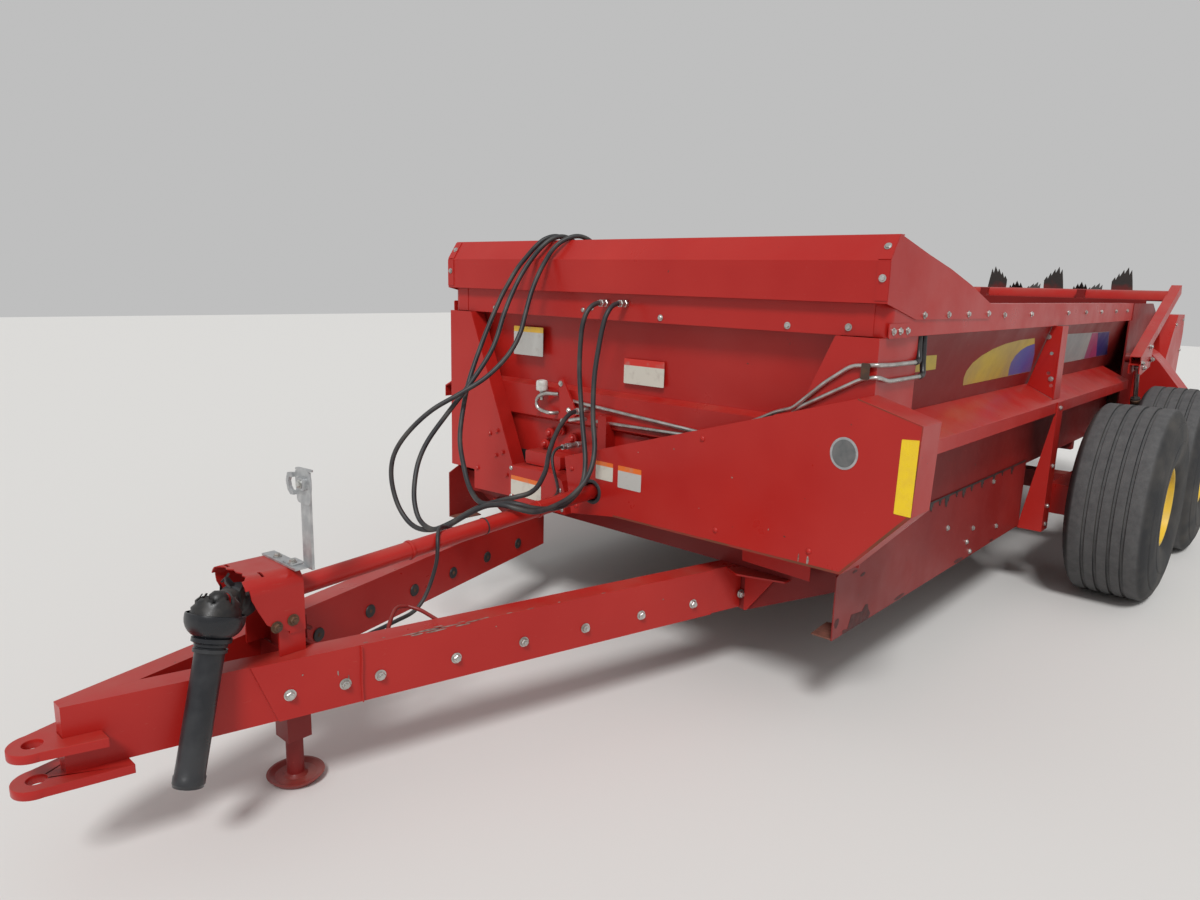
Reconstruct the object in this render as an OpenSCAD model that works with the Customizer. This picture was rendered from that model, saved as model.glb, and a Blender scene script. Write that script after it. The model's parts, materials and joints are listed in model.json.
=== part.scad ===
// Tandem box manure spreader, drawn at its real size in millimetres.
// The build frame has X forward to the hitch with zero at the splash guard's
// front, Y to the machine's left and Z up from the ground. Each node is then
// shifted along X so that the origin lies under the middle of the machine.

/* [Box] */
// Half width over the outer faces of the top rails
rail_hw = 1162; // [1100:1:1180]
// Height of the rails' top face
rail_top = 1552; // [1530:1:1600]
// Height of a rail's outer face
rail_h = 114; // [90:1:130]
// Width of a rail's top flange
rail_w = 70; // [50:1:90]
// Sheet thickness of the rails
rail_t = 6; // [4:0.5:8]
// Distance of the front rail behind the splash guard's face
rail_setback = 31; // [10:1:45]
// Rear end of the side rails, behind the splash guard's face
rail_rear = 3903; // [3850:1:3940]
// Rear end of the box walls
box_rear = 4560; // [4500:1:4600]
// Height of the floor's top face
floor_z = 735; // [710:1:760]
// Thickness of the floor boards
floor_t = 25; // [15:1:35]
// Half width of the wall's foot, measured on its outer face
foot_hw = 780; // [740:1:800]
// Height of the bend in the wall, where the ledge starts
knee_z = 1128; // [1110:1:1150]
// Half width at that bend, on the outer face
knee_hw = 1045; // [1020:1:1060]
// Thickness of the box walls
wall_t = 9; // [5:0.5:12]

/* [Side ledge and skirt] */
// Half width over the ledge's lip
ledge_hw = 1209; // [1190:1:1225]
// Height of the ledge's outer edge
ledge_z = 1046; // [1030:1:1070]
// Height of the lip below that edge
lip_h = 58; // [40:1:70]
// Sheet thickness of ledge, skirt and stakes
sheet_t = 5; // [3:0.5:7]
// Rear end of the ledges
ledge_rear = 3841; // [3800:1:3845]
// Half width over the skirts
skirt_hw = 1100; // [1085:1:1110]
// Bottom edge of the lower skirt
skirt_bottom = 360; // [330:1:420]
// Height of the joint between upper and lower skirt
skirt_seam = 722; // [715:1:750]
// Place of the centre stakes behind the splash guard's face
stake_x = 2100; // [2000:1:2180]
// Width of a stake's outer flange
stake_w = 110; // [80:1:130]

/* [Splash guard] */
// Height of the guard's top edge
guard_top = 1780; // [1740:1:1850]
// Height of the fold in its front
guard_fold = 1693; // [1660:1:1720]
// How far the top edge leans back
guard_lean = 58; // [30:1:70]
// Length of the side wings
wing_len = 1023; // [900:1:1200]
// Sheet thickness of the guard
guard_t = 4; // [3:0.5:6]

/* [Chain shield] */
// Front face of the shield ahead of the splash guard's face
shield_x = 150; // [130:1:170]
// Radius of the large sprocket behind the shield
sprocket_r = 180; // [150:1:190]
// Radius of the small sprocket behind the shield
pinion_r = 70; // [60:1:80]

/* [Tongue and hitch] */
// Height of the tongue beams' top face
tongue_top = 495; // [480:1:505]
// Depth of the tongue beams
tongue_h = 185; // [160:1:200]
// Width of a tongue beam
tongue_w = 76; // [60:1:90]
// Wall thickness of a tongue beam
tongue_t = 7; // [5:0.5:10]
// Front end of the beams
tongue_front = 2169; // [2150:1:2180]
// Half width over the beams' rear ends
tongue_rear_hw = 615; // [580:1:640]
// Distance of the hitch pin ahead of the splash guard's face
hitch_x = 2230; // [2215:1:2245]
// Diameter of the hitch pin holes
hitch_hole = 48; // [32:1:52]
// Thickness of a hitch plate
hitch_t = 25; // [20:1:30]
// Gap between the two hitch plates
hitch_gap = 75; // [60:1:90]

/* [Jack] */
// Place of the jack ahead of the splash guard's face
jack_x = 1533; // [1500:1:1560]
// Outer diameter of the jack's leg
jack_d = 54; // [48:1:60]
// Width of the jack's square sleeve
sleeve_w = 80; // [72:1:90]
// Diameter of the round foot
foot_d = 180; // [150:1:220]

/* [Driveline] */
// Outer diameter of the fixed drive line's guard tube
guard_tube_d = 62; // [50:1:76]
// Outer diameter of the loose shaft's guard tube
pto_tube_d = 79; // [60:1:80]
// Diameter of the loose shaft's guard bell
bell_d = 145; // [120:1:150]
// Outer half width of the hood over the drive line's joint
hood_hw = 115; // [105:1:120]
// Height of the hood's top
hood_top = 750; // [730:1:770]

/* [Running gear] */
// Tyre outer diameter
tyre_d = 1031; // [1000:1:1060]
// Tyre width
tyre_w = 420; // [390:1:425]
// Rim diameter at the bead
rim_d = 409; // [400:1:420]
// Half track between the wheels' middles
track_hw = 1525; // [1523:1:1540]
// Front wheels behind the splash guard's face
axle_x = 2465; // [2440:1:2480]
// Distance between front and rear wheels
tandem = 1275; // [1250:1:1300]
// Width of a walking beam
beam_w = 110; // [100:1:112]
// Height of a walking beam
beam_h = 166; // [150:1:180]

/* [Rear] */
// Upper beater behind the splash guard's face
upper_x = 5065; // [5050:1:5085]
// Height of the upper beater's shaft
upper_z = 1400; // [1390:1:1410]
// Radius over the upper beater's teeth
upper_r = 420; // [400:1:425]
// Lower beater behind the splash guard's face
lower_x = 4970; // [4965:1:5000]
// Height of the lower beater's shaft
lower_z = 712; // [705:1:718]
// Radius over the lower beater's teeth
lower_r = 258; // [240:1:262]
// Diameter of a beater's tube
beater_tube_d = 114; // [90:1:120]
// Diameter of a beater's stub shaft
stub_d = 50; // [40:1:60]
// Gate pivot behind the splash guard's face
pivot_x = 3890; // [3880:1:3900]
// Height of the gate pivot
pivot_z = 1190; // [1185:1:1200]
// Width and height of the gate's square arms
arm_w = 64; // [60:1:68]
// Half width to the middle of a gate arm
arm_y = 1272; // [1268:1:1275]
// Diameter of the gate's cross pipe
pipe_d = 76; // [70:1:90]
// Outer diameter of a gate cylinder
barrel_d = 56; // [50:1:60]
// Diameter of a gate cylinder's rod
rod_d = 28; // [22:1:32]

/* [Hoses] */
// Outer diameter of the hydraulic hoses
hose_d = 21; // [18:0.5:24]
// Outer diameter of the thin hose to the jack
thin_hose_d = 14; // [10:0.5:16]

/* [Hidden] */
$fn = 48;

seat = 0.3;          // gap between pieces that sit against each other
run = 0.05;          // radial clearance of a shaft in its bearing
red = "#b3261e";
dark_red = "#8e1b18";
yellow = "#e8c21c";
steel = "#9aa0a3";
black = "#1c1d20";

// Middle of the machine between the hitch plates' tip and the upper beater's rear
hitch_tip = hitch_x + 58;
rear_tip = -(upper_x + upper_r);
mid_x = (hitch_tip + rear_tip) / 2;

// Heights and widths of the frame's layers
floor_bottom = floor_z - floor_t;
cross_h = 60;
cross_bottom = floor_bottom - cross_h;
cross_hw = skirt_hw - 2 * sheet_t - seat;
frame_bottom = tongue_top;
tongue_bottom = tongue_top - tongue_h;
rail_bottom = rail_top - rail_h;
rail_in = rail_hw - rail_t - seat;
frame_y = 610;
frame_w = 60;
front_beam_h = 105;
front_beam_top = frame_bottom + front_beam_h;
wheel_r = tyre_d / 2;
front_axle = -axle_x;
rear_axle = -axle_x - tandem;
mid_axle = -axle_x - tandem / 2;
walk_z = 450;        // height of the walking beams' pivot
walk_pin_r = 35;
spindle_r = 30;
beam_in = track_hw - 345;
beam_out = beam_in + beam_w;
beam_bottom = wheel_r - 103;
axle_h = 110;
plate_in = rail_hw - rail_t + seat;   // inner face of the rear plates
plate_t = 10;
plate_out = plate_in + plate_t;

module place() translate([-mid_x, 0, 0]) children();
module mirror_y() mirror([0, 1, 0]) children();
module both() {
    children();
    mirror_y() children();
}

// A plate whose outline is given in Y and Z, thickness t towards the rear from x
module yz_plate(x, t, pts) translate([x - t, 0, 0])
    rotate([90, 0, 90]) linear_extrude(t) polygon(pts);
// A plate whose outline is given in X and Z, thickness t outwards from y
module xz_plate(y, t, pts) translate([0, y + t, 0])
    rotate([90, 0, 0]) linear_extrude(t) polygon(pts);
// A body whose outline is given in Y and Z, from x0 back to x1
module run_x(x0, x1, pts) yz_plate(x0, x0 - x1, pts);
// A round bar along Y
module bar_y(x, z, y0, y1, r) translate([x, y0, z]) rotate([-90, 0, 0]) cylinder(h = y1 - y0, r = r);
// A round bar along X
module bar_x(x0, x1, y, z, r) translate([x0, y, z]) rotate([0, 90, 0]) cylinder(h = x1 - x0, r = r);
// Turns Z into the direction from p to q, with the start at p
module along(p, q) {
    v = q - p;
    l = norm(v);
    translate(p) rotate([0, acos(v[2] / l), atan2(v[1], v[0])]) children();
}
// Filled outline of a belt round two wheels
module belt(c1, r1, c2, r2) {
    d = c2 - c1;
    phi = atan2(d[1], d[0]);
    alpha = acos((r1 - r2) / norm(d));
    function at(c, r, a) = c + r * [cos(a), sin(a)];
    translate(c1) circle(r = r1);
    translate(c2) circle(r = r2);
    polygon([at(c1, r1, phi + alpha), at(c2, r2, phi + alpha), at(c2, r2, phi - alpha),
             at(c1, r1, phi - alpha)]);
}

// Outer face of a box wall as [half width, height], bottom to top
wall_face = [[foot_hw, floor_bottom + seat], [knee_hw, knee_z], [rail_in - 16, rail_bottom],
             [rail_in, rail_bottom + 32], [rail_in, rail_top - rail_t - seat]];
function inset(pts, d) = [for (p = pts) [p[0] - d, p[1]]];
function rev(pts) = [for (i = [len(pts) - 1 : -1 : 0]) pts[i]];
function mirrored(pts) = [for (p = rev(pts)) [-p[0], p[1]]];
// Half width of the wall's outer face at a height below the bend
function wall_y(z) = foot_hw + (knee_hw - foot_hw) * (z - floor_bottom) / (knee_z - floor_bottom);

// Both walls of the box, each one bent sheet
module side_walls() color(dark_red) both()
    run_x(-rail_setback - rail_w, -box_rear, concat(wall_face, rev(inset(wall_face, wall_t))));

// Floor between the apron's front and rear shafts
apron_front = -250;
apron_rear = -4470;
apron_z = 640;
apron_r = floor_z + seat - apron_z;
floor_front = apron_front - apron_r;
floor_rear = apron_rear + apron_r;
module box_floor() color("#5a4a3c") {
    hw = foot_hw - wall_t - seat;
    translate([floor_rear, -hw, floor_bottom]) cube([floor_front - floor_rear, 2 * hw, floor_t]);
}

// Front wall, a folded sheet that stands forward in one wide rib
wall_front = -112;
wall_rib = -85;
wall_sheet = 6;
wall_profile = [[-105, rail_top - rail_t - seat], [-105, rail_bottom], [-130, 1115], [wall_rib, 1100],
                [wall_rib, 950], [wall_front, 935], [wall_front, floor_bottom + 5]];
module front_wall() color(red) {
    intersection() {
        rotate([90, 0, 0]) linear_extrude(2 * rail_hw, center = true)
            polygon(concat(wall_profile, rev([for (p = wall_profile) [p[0] - wall_sheet, p[1]]])));
        rotate([90, 0, 90]) linear_extrude(600, center = true)
            polygon(concat(inset(wall_face, wall_t + seat), mirrored(inset(wall_face, wall_t + seat))));
    }
    // lower sheet down to the front beam
    hw = frame_y - seat;
    translate([wall_front - wall_sheet, -hw, front_beam_top + seat])
        cube([wall_sheet, 2 * hw, floor_bottom + 10 - front_beam_top]);
    // lip that covers the apron where it comes up
    lip_y = wall_y(floor_z + 50) - wall_t - 2;
    rotate([90, 0, 0]) linear_extrude(2 * lip_y, center = true)
        polygon([[wall_front - 1, 850], [wall_front - 1, 856], [-330, floor_z + 56], [-330, floor_z + 50]]);
}

// Top rail, a folded channel round the front and both sides
rail_corner = 48;
module rail_plan(inside, past) {
    r = max(rail_corner - inside, 5);
    front = -rail_setback - inside;
    hw = rail_hw - inside;
    translate([-rail_rear - past, -hw]) square([rail_rear + past + front - r, 2 * hw]);
    translate([front - 2 * r, -hw + r]) square([2 * r, 2 * (hw - r)]);
    for (side = [-1, 1]) translate([front - r, side * (hw - r)]) circle(r = r);
}
module rail_ring(w, z0, z1) translate([0, 0, z0]) linear_extrude(z1 - z0) difference() {
    rail_plan(0, 0);
    rail_plan(w, 1);
}
module top_rail() color(red) {
    rail_ring(rail_t, rail_bottom, rail_top);
    rail_ring(rail_w, rail_top - rail_t, rail_top);
}

// Splash guard, folded front with a sloping wing along each rail
// A point on the wing's upper edge, as shares of its length and of the guard's height
function wing_edge(back, up) = [-wing_len * back, rail_top + (guard_top - rail_top) * up];
module splash_guard() color(red) {
    low = rail_top + seat;
    front = [[0, low], [0, guard_fold], [-guard_lean, guard_top], [-guard_lean - 30, guard_top],
             [-guard_lean - 30, guard_top - guard_t], [-guard_lean - 2, guard_top - guard_t],
             [-guard_t, guard_fold], [-guard_t, low + guard_t], [-60, low + guard_t], [-60, low]];
    wing = [[0, rail_top], [-250, rail_top - 55], [-wing_len, rail_top - 62], [-wing_len, rail_top],
            wing_edge(0.743, 0.33), wing_edge(0.528, 0.56), wing_edge(0.303, 0.76), [-guard_lean, guard_top],
            [0, guard_fold]];
    rotate([90, 0, 0]) linear_extrude(2 * (rail_hw + seat + guard_t), center = true) polygon(front);
    both() xz_plate(rail_hw + seat, guard_t, wing);
}

// Corner wings beside the front wall, with a folded edge back to the wall
shaft_y = 1000;
shaft_z = 860;
shaft_r = 22;
wing_hw = skirt_hw + 50;
wing_top_in = rail_in - 167;
wing_foot_in = foot_hw - 109;
module front_wings() color(red) difference() {
    both() {
        yz_plate(0, sheet_t, [[wing_hw, 632], [wing_hw, rail_bottom - seat],
                              [wing_top_in, rail_bottom - seat], [wing_foot_in, 705],
                              [wing_foot_in - 4, 645], [wing_foot_in + 1, 543], [965, 533], [965, 632]]);
        run_x(0, wall_rib + seat, [[wing_top_in, rail_bottom - seat], [wing_foot_in, 705],
                                   [wing_foot_in + 6, 705], [wing_top_in + 7, rail_bottom - seat]]);
        run_x(0, -330, [[wing_hw, 1150], [wing_hw, rail_bottom - seat],
                        [wing_hw - sheet_t, rail_bottom - seat], [wing_hw - sheet_t, 1150]]);
    }
    bar_x(-20, 20, shaft_y, shaft_z, shaft_r + 20);
}

// Ledges along both sides, sheet with a turned down lip
ledge_in = knee_hw + seat;
ledge_pts = [[ledge_in, knee_z - 12], [ledge_in, knee_z], [ledge_hw, ledge_z],
             [ledge_hw, ledge_z - lip_h], [ledge_hw - sheet_t, ledge_z - lip_h],
             [ledge_hw - sheet_t, ledge_z - sheet_t]];
module ledges() color(red) both() run_x(-sheet_t - seat, -ledge_rear, ledge_pts);
// Height of the ledge's underside and of its top at a half width y
function ledge_under(y) = knee_z - 12
    - (y - ledge_in) * (knee_z - 12 - ledge_z + sheet_t) / (ledge_hw - sheet_t - ledge_in);
function ledge_over(y) = knee_z - (y - ledge_in) * (knee_z - ledge_z) / (ledge_hw - ledge_in);

// Skirts below the ledges, upper sheet lapped over a lower one
module skirts() color(dark_red) both() {
    upper_y = skirt_hw - sheet_t;
    top = ledge_under(upper_y) - seat;
    xz_plate(upper_y - sheet_t, sheet_t,
             [[-sheet_t - seat, skirt_seam - 20], [-sheet_t - seat, top], [-ledge_rear, top],
              [-ledge_rear, skirt_seam - 20]]);
    difference() {
        xz_plate(upper_y, sheet_t,
                 [[60, skirt_bottom], [60, 600], [-6, 632], [-6, skirt_seam - seat],
                  [-stake_x + 6, skirt_seam], [-stake_x + 6, skirt_bottom]]);
        translate([-sheet_t - seat, skirt_hw - 50, 632 - seat]) cube([sheet_t + 2 * seat, 100, 400]);
    }
}

// Upright stakes, each a folded plate that fills between ledge, wall and rail
stake_holes = [[1152, 1296], [1150, 1193], [1169, 1130]];
module stakes() color(red) both() difference() {
    stake();
    for (h = stake_holes) bar_x(-stake_x - 20, -stake_x + 20, h[0], h[1], 9);
}
module stake() {
    web_top = rail_bottom - seat;
    flange_y = ledge_hw - 24;
    under_y = ledge_hw + seat;
    yz_plate(-stake_x, sheet_t, [[knee_hw + 8, ledge_over(knee_hw + 8) + seat],
                                 [flange_y + sheet_t, ledge_over(flange_y) + seat],
                                 [flange_y + sheet_t, web_top], [rail_in - 14, web_top]]);
    flange_bottom = ledge_over(flange_y) + seat;
    xz_plate(flange_y, sheet_t, [[-stake_x, flange_bottom], [-stake_x, web_top],
                                 [-stake_x - stake_w, web_top], [-stake_x - stake_w, flange_bottom]]);
    yz_plate(-stake_x, sheet_t, [[under_y + 1, ledge_z - lip_h], [under_y + 1, 345],
                                 [skirt_hw - 9, 345], [ledge_hw - 8, ledge_z - lip_h - 20]]);
    xz_plate(under_y, sheet_t, [[-stake_x, 345], [-stake_x, ledge_z], [-stake_x - stake_w, ledge_z],
                                [-stake_x - stake_w, 345]]);
}

// Base pins of the gate cylinders and lugs on the gate's arms, at rest
base_x = -3900;
base_z = 640;
base_pin_r = 12.5;
lug_x = -3700;
lug_z = 1145;

// Main frame: two rails, cross members, front beam and axle
cross_rear = -4340;
cross_at = [-420, -1100, -stake_x, mid_axle, base_x, cross_rear];
module main_frame() color(dark_red) {
    both() translate([-box_rear, frame_y, frame_bottom])
        cube([box_rear - 60, frame_w, cross_bottom - frame_bottom]);
    for (x = cross_at) {
        hw = x <= base_x ? plate_in - seat : cross_hw;
        translate([x - 30, -hw, cross_bottom]) cube([60, 2 * hw, cross_h]);
    }
    translate([-130, -cross_hw, frame_bottom]) cube([70, 2 * cross_hw, front_beam_h]);
    // tapered webs under the front beam, behind the tongue's rear ends
    both() yz_plate(-98, 10, [[560, 310], [636, 298], [1040, 490], [1040, frame_bottom + 1],
                              [560, frame_bottom + 1]]);
    translate([mid_axle - 60, -beam_in + seat, frame_bottom - axle_h])
        cube([120, 2 * (beam_in - seat), axle_h]);
    both() bar_y(mid_axle, walk_z, beam_in - 30, beam_out + 6, walk_pin_r);
}

// Walking beams with the wheel spindles
module walking_beams() color(red) both() difference() {
    union() {
        translate([rear_axle - 165, beam_in, beam_bottom]) cube([tandem + 330, beam_w, beam_h]);
        bar_y(mid_axle, walk_z, beam_in, beam_out, 75);
        for (x = [front_axle, rear_axle]) bar_y(x, wheel_r, beam_out - 1, track_hw - 30, spindle_r);
    }
    bar_y(mid_axle, walk_z, beam_in - 1, beam_out + 1, walk_pin_r + seat);
}

// Wheels, drawn round the spindle's axis with the outer side to +Y
module tyre_body() {
    r = wheel_r;
    w = tyre_w / 2;
    b = rim_d / 2;
    rotate([-90, 0, 0]) rotate_extrude($fn = 72)
        polygon([[b + seat, -170], [b + 60, -w + 8], [r - 150, -w], [r - 60, -w + 18], [r - 12, -170],
                 [r, -150], [r, 150], [r - 12, 170], [r - 60, w - 18], [r - 150, w], [b + 60, w - 8],
                 [b + seat, 170], [b + seat, 150], [b + 90, 120], [b + 90, -120], [b + seat, -150]]);
}
module rim_body() rotate([-90, 0, 0]) rotate_extrude($fn = 72) {
    b = rim_d / 2;
    polygon([[spindle_r + run, -95], [70, -95], [70, -10], [150, 20], [b - 30, 5], [b - 30, -130],
             [b - 6, -150], [b - 6, -178], [b + 12, -178], [b, -170], [b, 170], [b + 12, 178],
             [b - 6, 178], [b - 6, 150], [b - 30, 130], [b - 30, 17], [150, 32], [62, 4], [62, 24],
             [spindle_r + run, 24]]);
}
module tyre_fl() color(black) translate([front_axle, track_hw, wheel_r]) tyre_body();
module tyre_rl() color(black) translate([rear_axle, track_hw, wheel_r]) tyre_body();
module tyre_fr() mirror_y() tyre_fl();
module tyre_rr() mirror_y() tyre_rl();
module rim_fl() color(yellow) translate([front_axle, track_hw, wheel_r]) rim_body();
module rim_rl() color(yellow) translate([rear_axle, track_hw, wheel_r]) rim_body();
module rim_fr() mirror_y() rim_fl();
module rim_rr() mirror_y() rim_rl();

// Tongue: two hollow beams that meet at the hitch, with a lapped plate outside each
tip_hw = 24;
slope_y = (tongue_rear_hw - tip_hw) / (tongue_front + 92);
function beam_y(x) = tip_hw + (tongue_front - x) * slope_y;
tongue_rear = -92;
meet_x = tongue_front - (tongue_w - tip_hw) / slope_y;
lap_t = 8;
module beam_outline(grow) polygon([[tongue_front + grow, seat / 2], [tongue_front + grow, tip_hw + grow],
    [tongue_rear, beam_y(tongue_rear) + grow], [tongue_rear, beam_y(tongue_rear) - tongue_w - grow],
    [meet_x - grow / slope_y, seat / 2]]);
module tongue() color(red) {
    both() translate([0, 0, tongue_bottom]) difference() {
        linear_extrude(tongue_h) beam_outline(0);
        translate([0, 0, tongue_t]) linear_extrude(tongue_h - 2 * tongue_t)
            polygon([[tongue_front - 120, beam_y(tongue_front - 120) - tongue_t],
                     [tongue_rear - 1, beam_y(tongue_rear) - tongue_t],
                     [tongue_rear - 1, beam_y(tongue_rear) - tongue_w + tongue_t],
                     [meet_x - 120, beam_y(meet_x - 120) - tongue_w + tongue_t]]);
    }
    // lapped plate, cut on a slant at its front end, measured back from the tip
    both() translate([tongue_front, tip_hw, tongue_bottom]) rotate([0, 0, 180 - atan(slope_y)])
        translate([0, seat, 0]) rotate([90, 0, 0]) linear_extrude(lap_t)
            polygon([[460, tongue_h], [2180, tongue_h], [2180, 0], [530, 0]]);
    // short web that ties the two beams together at their front end
    translate([tongue_front - 150, -10, tongue_bottom]) cube([120, 20, tongue_h]);
}

// Hitch plates, let into the beams' front end
module hitch_plate(z, back) translate([0, 0, z]) difference() {
    linear_extrude(hitch_t) {
        translate([hitch_x, 0]) circle(r = hitch_tip - hitch_x);
        polygon([[hitch_x, hitch_x - hitch_tip], [back, -105], [back, 105], [hitch_x, hitch_tip - hitch_x]]);
    }
    translate([hitch_x, 0, -1]) cylinder(h = hitch_t + 2, d = hitch_hole);
}
hitch_low = tongue_bottom - hitch_t - seat;
hitch_high = hitch_low + hitch_t + hitch_gap;
module hitch_plates() color(red) {
    hitch_plate(hitch_low, 2030);
    difference() {
        hitch_plate(hitch_high, 2085);
        translate([0, 0, hitch_high - 1]) linear_extrude(hitch_t + 2) {
            beam_outline(seat);
            mirror([0, 1]) beam_outline(seat);
            translate([meet_x - 50, -20]) square([tongue_front + seat - meet_x + 50, 40]);
        }
    }
}

// Parking jack in a sleeve between the tongue beams
sleeve_top = 560;
sleeve_bottom = 150;
bracket_top = 470;
bracket_bottom = 320;
bracket_t = 8;
module jack_sleeve() color(dark_red) difference() {
    union() {
        translate([jack_x - sleeve_w / 2, -sleeve_w / 2, sleeve_bottom])
            cube([sleeve_w, sleeve_w, sleeve_top - sleeve_bottom]);
        for (s = [-1, 1]) {
            x = jack_x + s * (sleeve_w / 2 + bracket_t / 2 - 1);
            hw = beam_y(x + bracket_t / 2) - tongue_w - seat;
            translate([x - bracket_t / 2, -hw, bracket_bottom])
                cube([bracket_t, 2 * hw, bracket_top - bracket_bottom]);
        }
    }
    translate([jack_x, 0, sleeve_bottom - 1])
        cylinder(h = sleeve_top - sleeve_bottom - 10, d = jack_d + 2 * seat);
}
module jack_leg() color(dark_red) {
    translate([jack_x, 0, 12]) cylinder(h = 328, d = jack_d);
    difference() {
        translate([jack_x, 0, 0]) cylinder(h = 22, d1 = foot_d - 40, d2 = foot_d);
        translate([jack_x, 0, 14]) cylinder(h = 9, d1 = foot_d - 50, d2 = foot_d - 12);
    }
    translate([jack_x, 0, 10]) cylinder(h = 14, d1 = jack_d + 30, d2 = jack_d);
}

// Fixed drive line from the gear box to the joint under the hood
line_start = [62, 0, 724];
line_end = [1560, 0, 640];
joint_ball = [1690, 12, 652];
pto_pivot = [1793, 120, 711];
shaft_end = [1934, 190, 240];
pivot_r = 28;
neck_dir = (pto_pivot - joint_ball) / norm(pto_pivot - joint_ball);
module driveline() color(red) {
    along(line_start, line_end) cylinder(h = norm(line_end - line_start), d = guard_tube_d);
    along(line_end, joint_ball) translate([0, 0, -10]) cylinder(h = 140, r = 24);
    translate(joint_ball) sphere(r = 34);
    along(joint_ball, pto_pivot) cylinder(h = norm(pto_pivot - joint_ball) - pivot_r - 0.5, r = 22);
}

// Loose drive shaft, hanging over the left beam
shaft_l = norm(shaft_end - pto_pivot);
module pto_shaft() color(black) {
    swing = cross([1, 0, 0], shaft_end - pto_pivot);
    half_pin = (pivot_r + 1) * swing / norm(swing);
    along(pto_pivot - half_pin, pto_pivot + half_pin) cylinder(h = 2 * pivot_r + 2, r = 10);
    along(pto_pivot, shaft_end) {
        shaft_body();
        shaft_socket();
    }
}
socket_len = 100;
module shaft_body() {
    sphere(r = pivot_r);
    cylinder(h = 60, r = 20);
    translate([0, 0, 50]) cylinder(h = 20, d = bell_d - 50);
    difference() {
        translate([0, 0, 36]) cylinder(h = 34, d1 = bell_d, d2 = bell_d - 10);
        translate([0, 0, 35]) cylinder(h = 25, d = bell_d - 16);
    }
    translate([0, 0, 69.9]) cylinder(h = 40, d1 = bell_d - 10, d2 = pto_tube_d + 4);
    translate([0, 0, 90]) cylinder(h = shaft_l - socket_len - seat - 90, d = pto_tube_d);
}
// Open end of the guard tube, where the shaft towards the tractor goes in
module shaft_socket() translate([0, 0, shaft_l - socket_len]) difference() {
    cylinder(h = socket_len, d = pto_tube_d);
    translate([0, 0, -1]) cylinder(h = socket_len + 2, d = pto_tube_d - 14);
}

// Stand and hood at the front end of the drive line
cheek_out = hood_hw - guard_t - seat;
hood_y = 25;
hood_rear = 1550;
hood_front = 1722;
hood_bottom = 560;
hood_r = 50;
cheek_x = hood_rear;
cheek_len = 82;
cheek_top = 650;
module pto_stand() color(red) {
    translate([cheek_x, hood_y - cheek_out, bracket_top + seat])
        cube([cheek_len, 8, cheek_top - bracket_top]);
    translate([cheek_x, hood_y + cheek_out - 8, tongue_top + seat])
        cube([cheek_len, 8, cheek_top - tongue_top]);
    difference() {
        translate([cheek_x, hood_y - cheek_out, 580]) cube([10, 2 * cheek_out, cheek_top - 580]);
        along(line_start, line_end) cylinder(h = 2000, d = guard_tube_d + 2 * seat);
    }
}
module hood_section(grow) {
    hw = hood_hw - grow;
    r = hood_r - grow;
    for (s = [-1, 1]) translate([s * (hw - r), hood_top - hood_r]) circle(r = r);
    translate([-hw + r, hood_top - hood_r]) square([2 * (hw - r), r]);
    translate([-hw, hood_bottom - grow]) square([2 * hw, hood_top - hood_r - hood_bottom + grow]);
}
module hood_body(x0, x1, grow) translate([x0, hood_y, 0]) rotate([90, 0, 90])
    linear_extrude(x1 - x0) hood_section(grow);
module pto_hood() color(red) difference() {
    hood_body(hood_rear, hood_front, 0);
    hood_body(hood_rear - 1, hood_front + 1, guard_t);
    // broken edge at the front of the top, and two slots
    translate([0, 0, hood_top - 45]) linear_extrude(60) {
        polygon([[1750, -70], [1714, -64], [1718, -48], [1706, -30], [1710, -6], [1698, 12], [1703, 38],
                 [1695, 62], [1704, 78], [1702, 96], [1714, 112], [1750, 120]]);
        translate([1694, -44]) square([9, 26]);
        translate([1655, 84]) square([9, 30]);
    }
    // slanted lower front edge
    rotate([90, 0, 0]) linear_extrude(400, center = true)
        polygon([[1600, 500], [1600, hood_bottom + 8], [1640, 584], [1668, 606], [1690, 650], [1708, 690],
                 [1712, 720], [1750, 720], [1750, 500]]);
}

module gearbox() color(dark_red) {
    translate([-80, -100, front_beam_top + seat]) cube([78, 420, 245]);
    translate([-10, -90, 650]) cube([70, 390, 190]);
    bar_x(59, 130, pinion_at[0], pinion_at[1], 20);
}
cover_front = 40;
cover_pts = [[-650, 540], [-650, 712], [-392, 722], [-325, 716], [-290, 694], [-272, 650], [-262, 540]];
cover_hole = [[-646, 544], [-646, 708], [-392, 718], [-327, 712], [-293, 691], [-276, 649], [-266, 544]];
module apron_cover() color(red) difference() {
    run_x(cover_front, -60 + seat, cover_pts);
    run_x(cover_front - sheet_t, -61, cover_hole);
}

// Chain shield, a pan open to the rear, seated on the corner wing
shield_t = 4;
shield_pts = [[-166, 847], [1162, 1249], [1383, 1187], [1373, 891], [1151, 646], [122, 633], [-120, 600]];
module chain_shield() color(red) difference() {
    run_x(shield_x, seat, shield_pts);
    run_x(shield_x - shield_t, seat - 1, [[-161, 844], [1162, 1245], [1379, 1184], [1369, 893], [1149, 650],
                                          [122, 637], [-117, 605]]);
    bar_x(0, shield_x + 1, 0, 719, 48);
}

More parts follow.
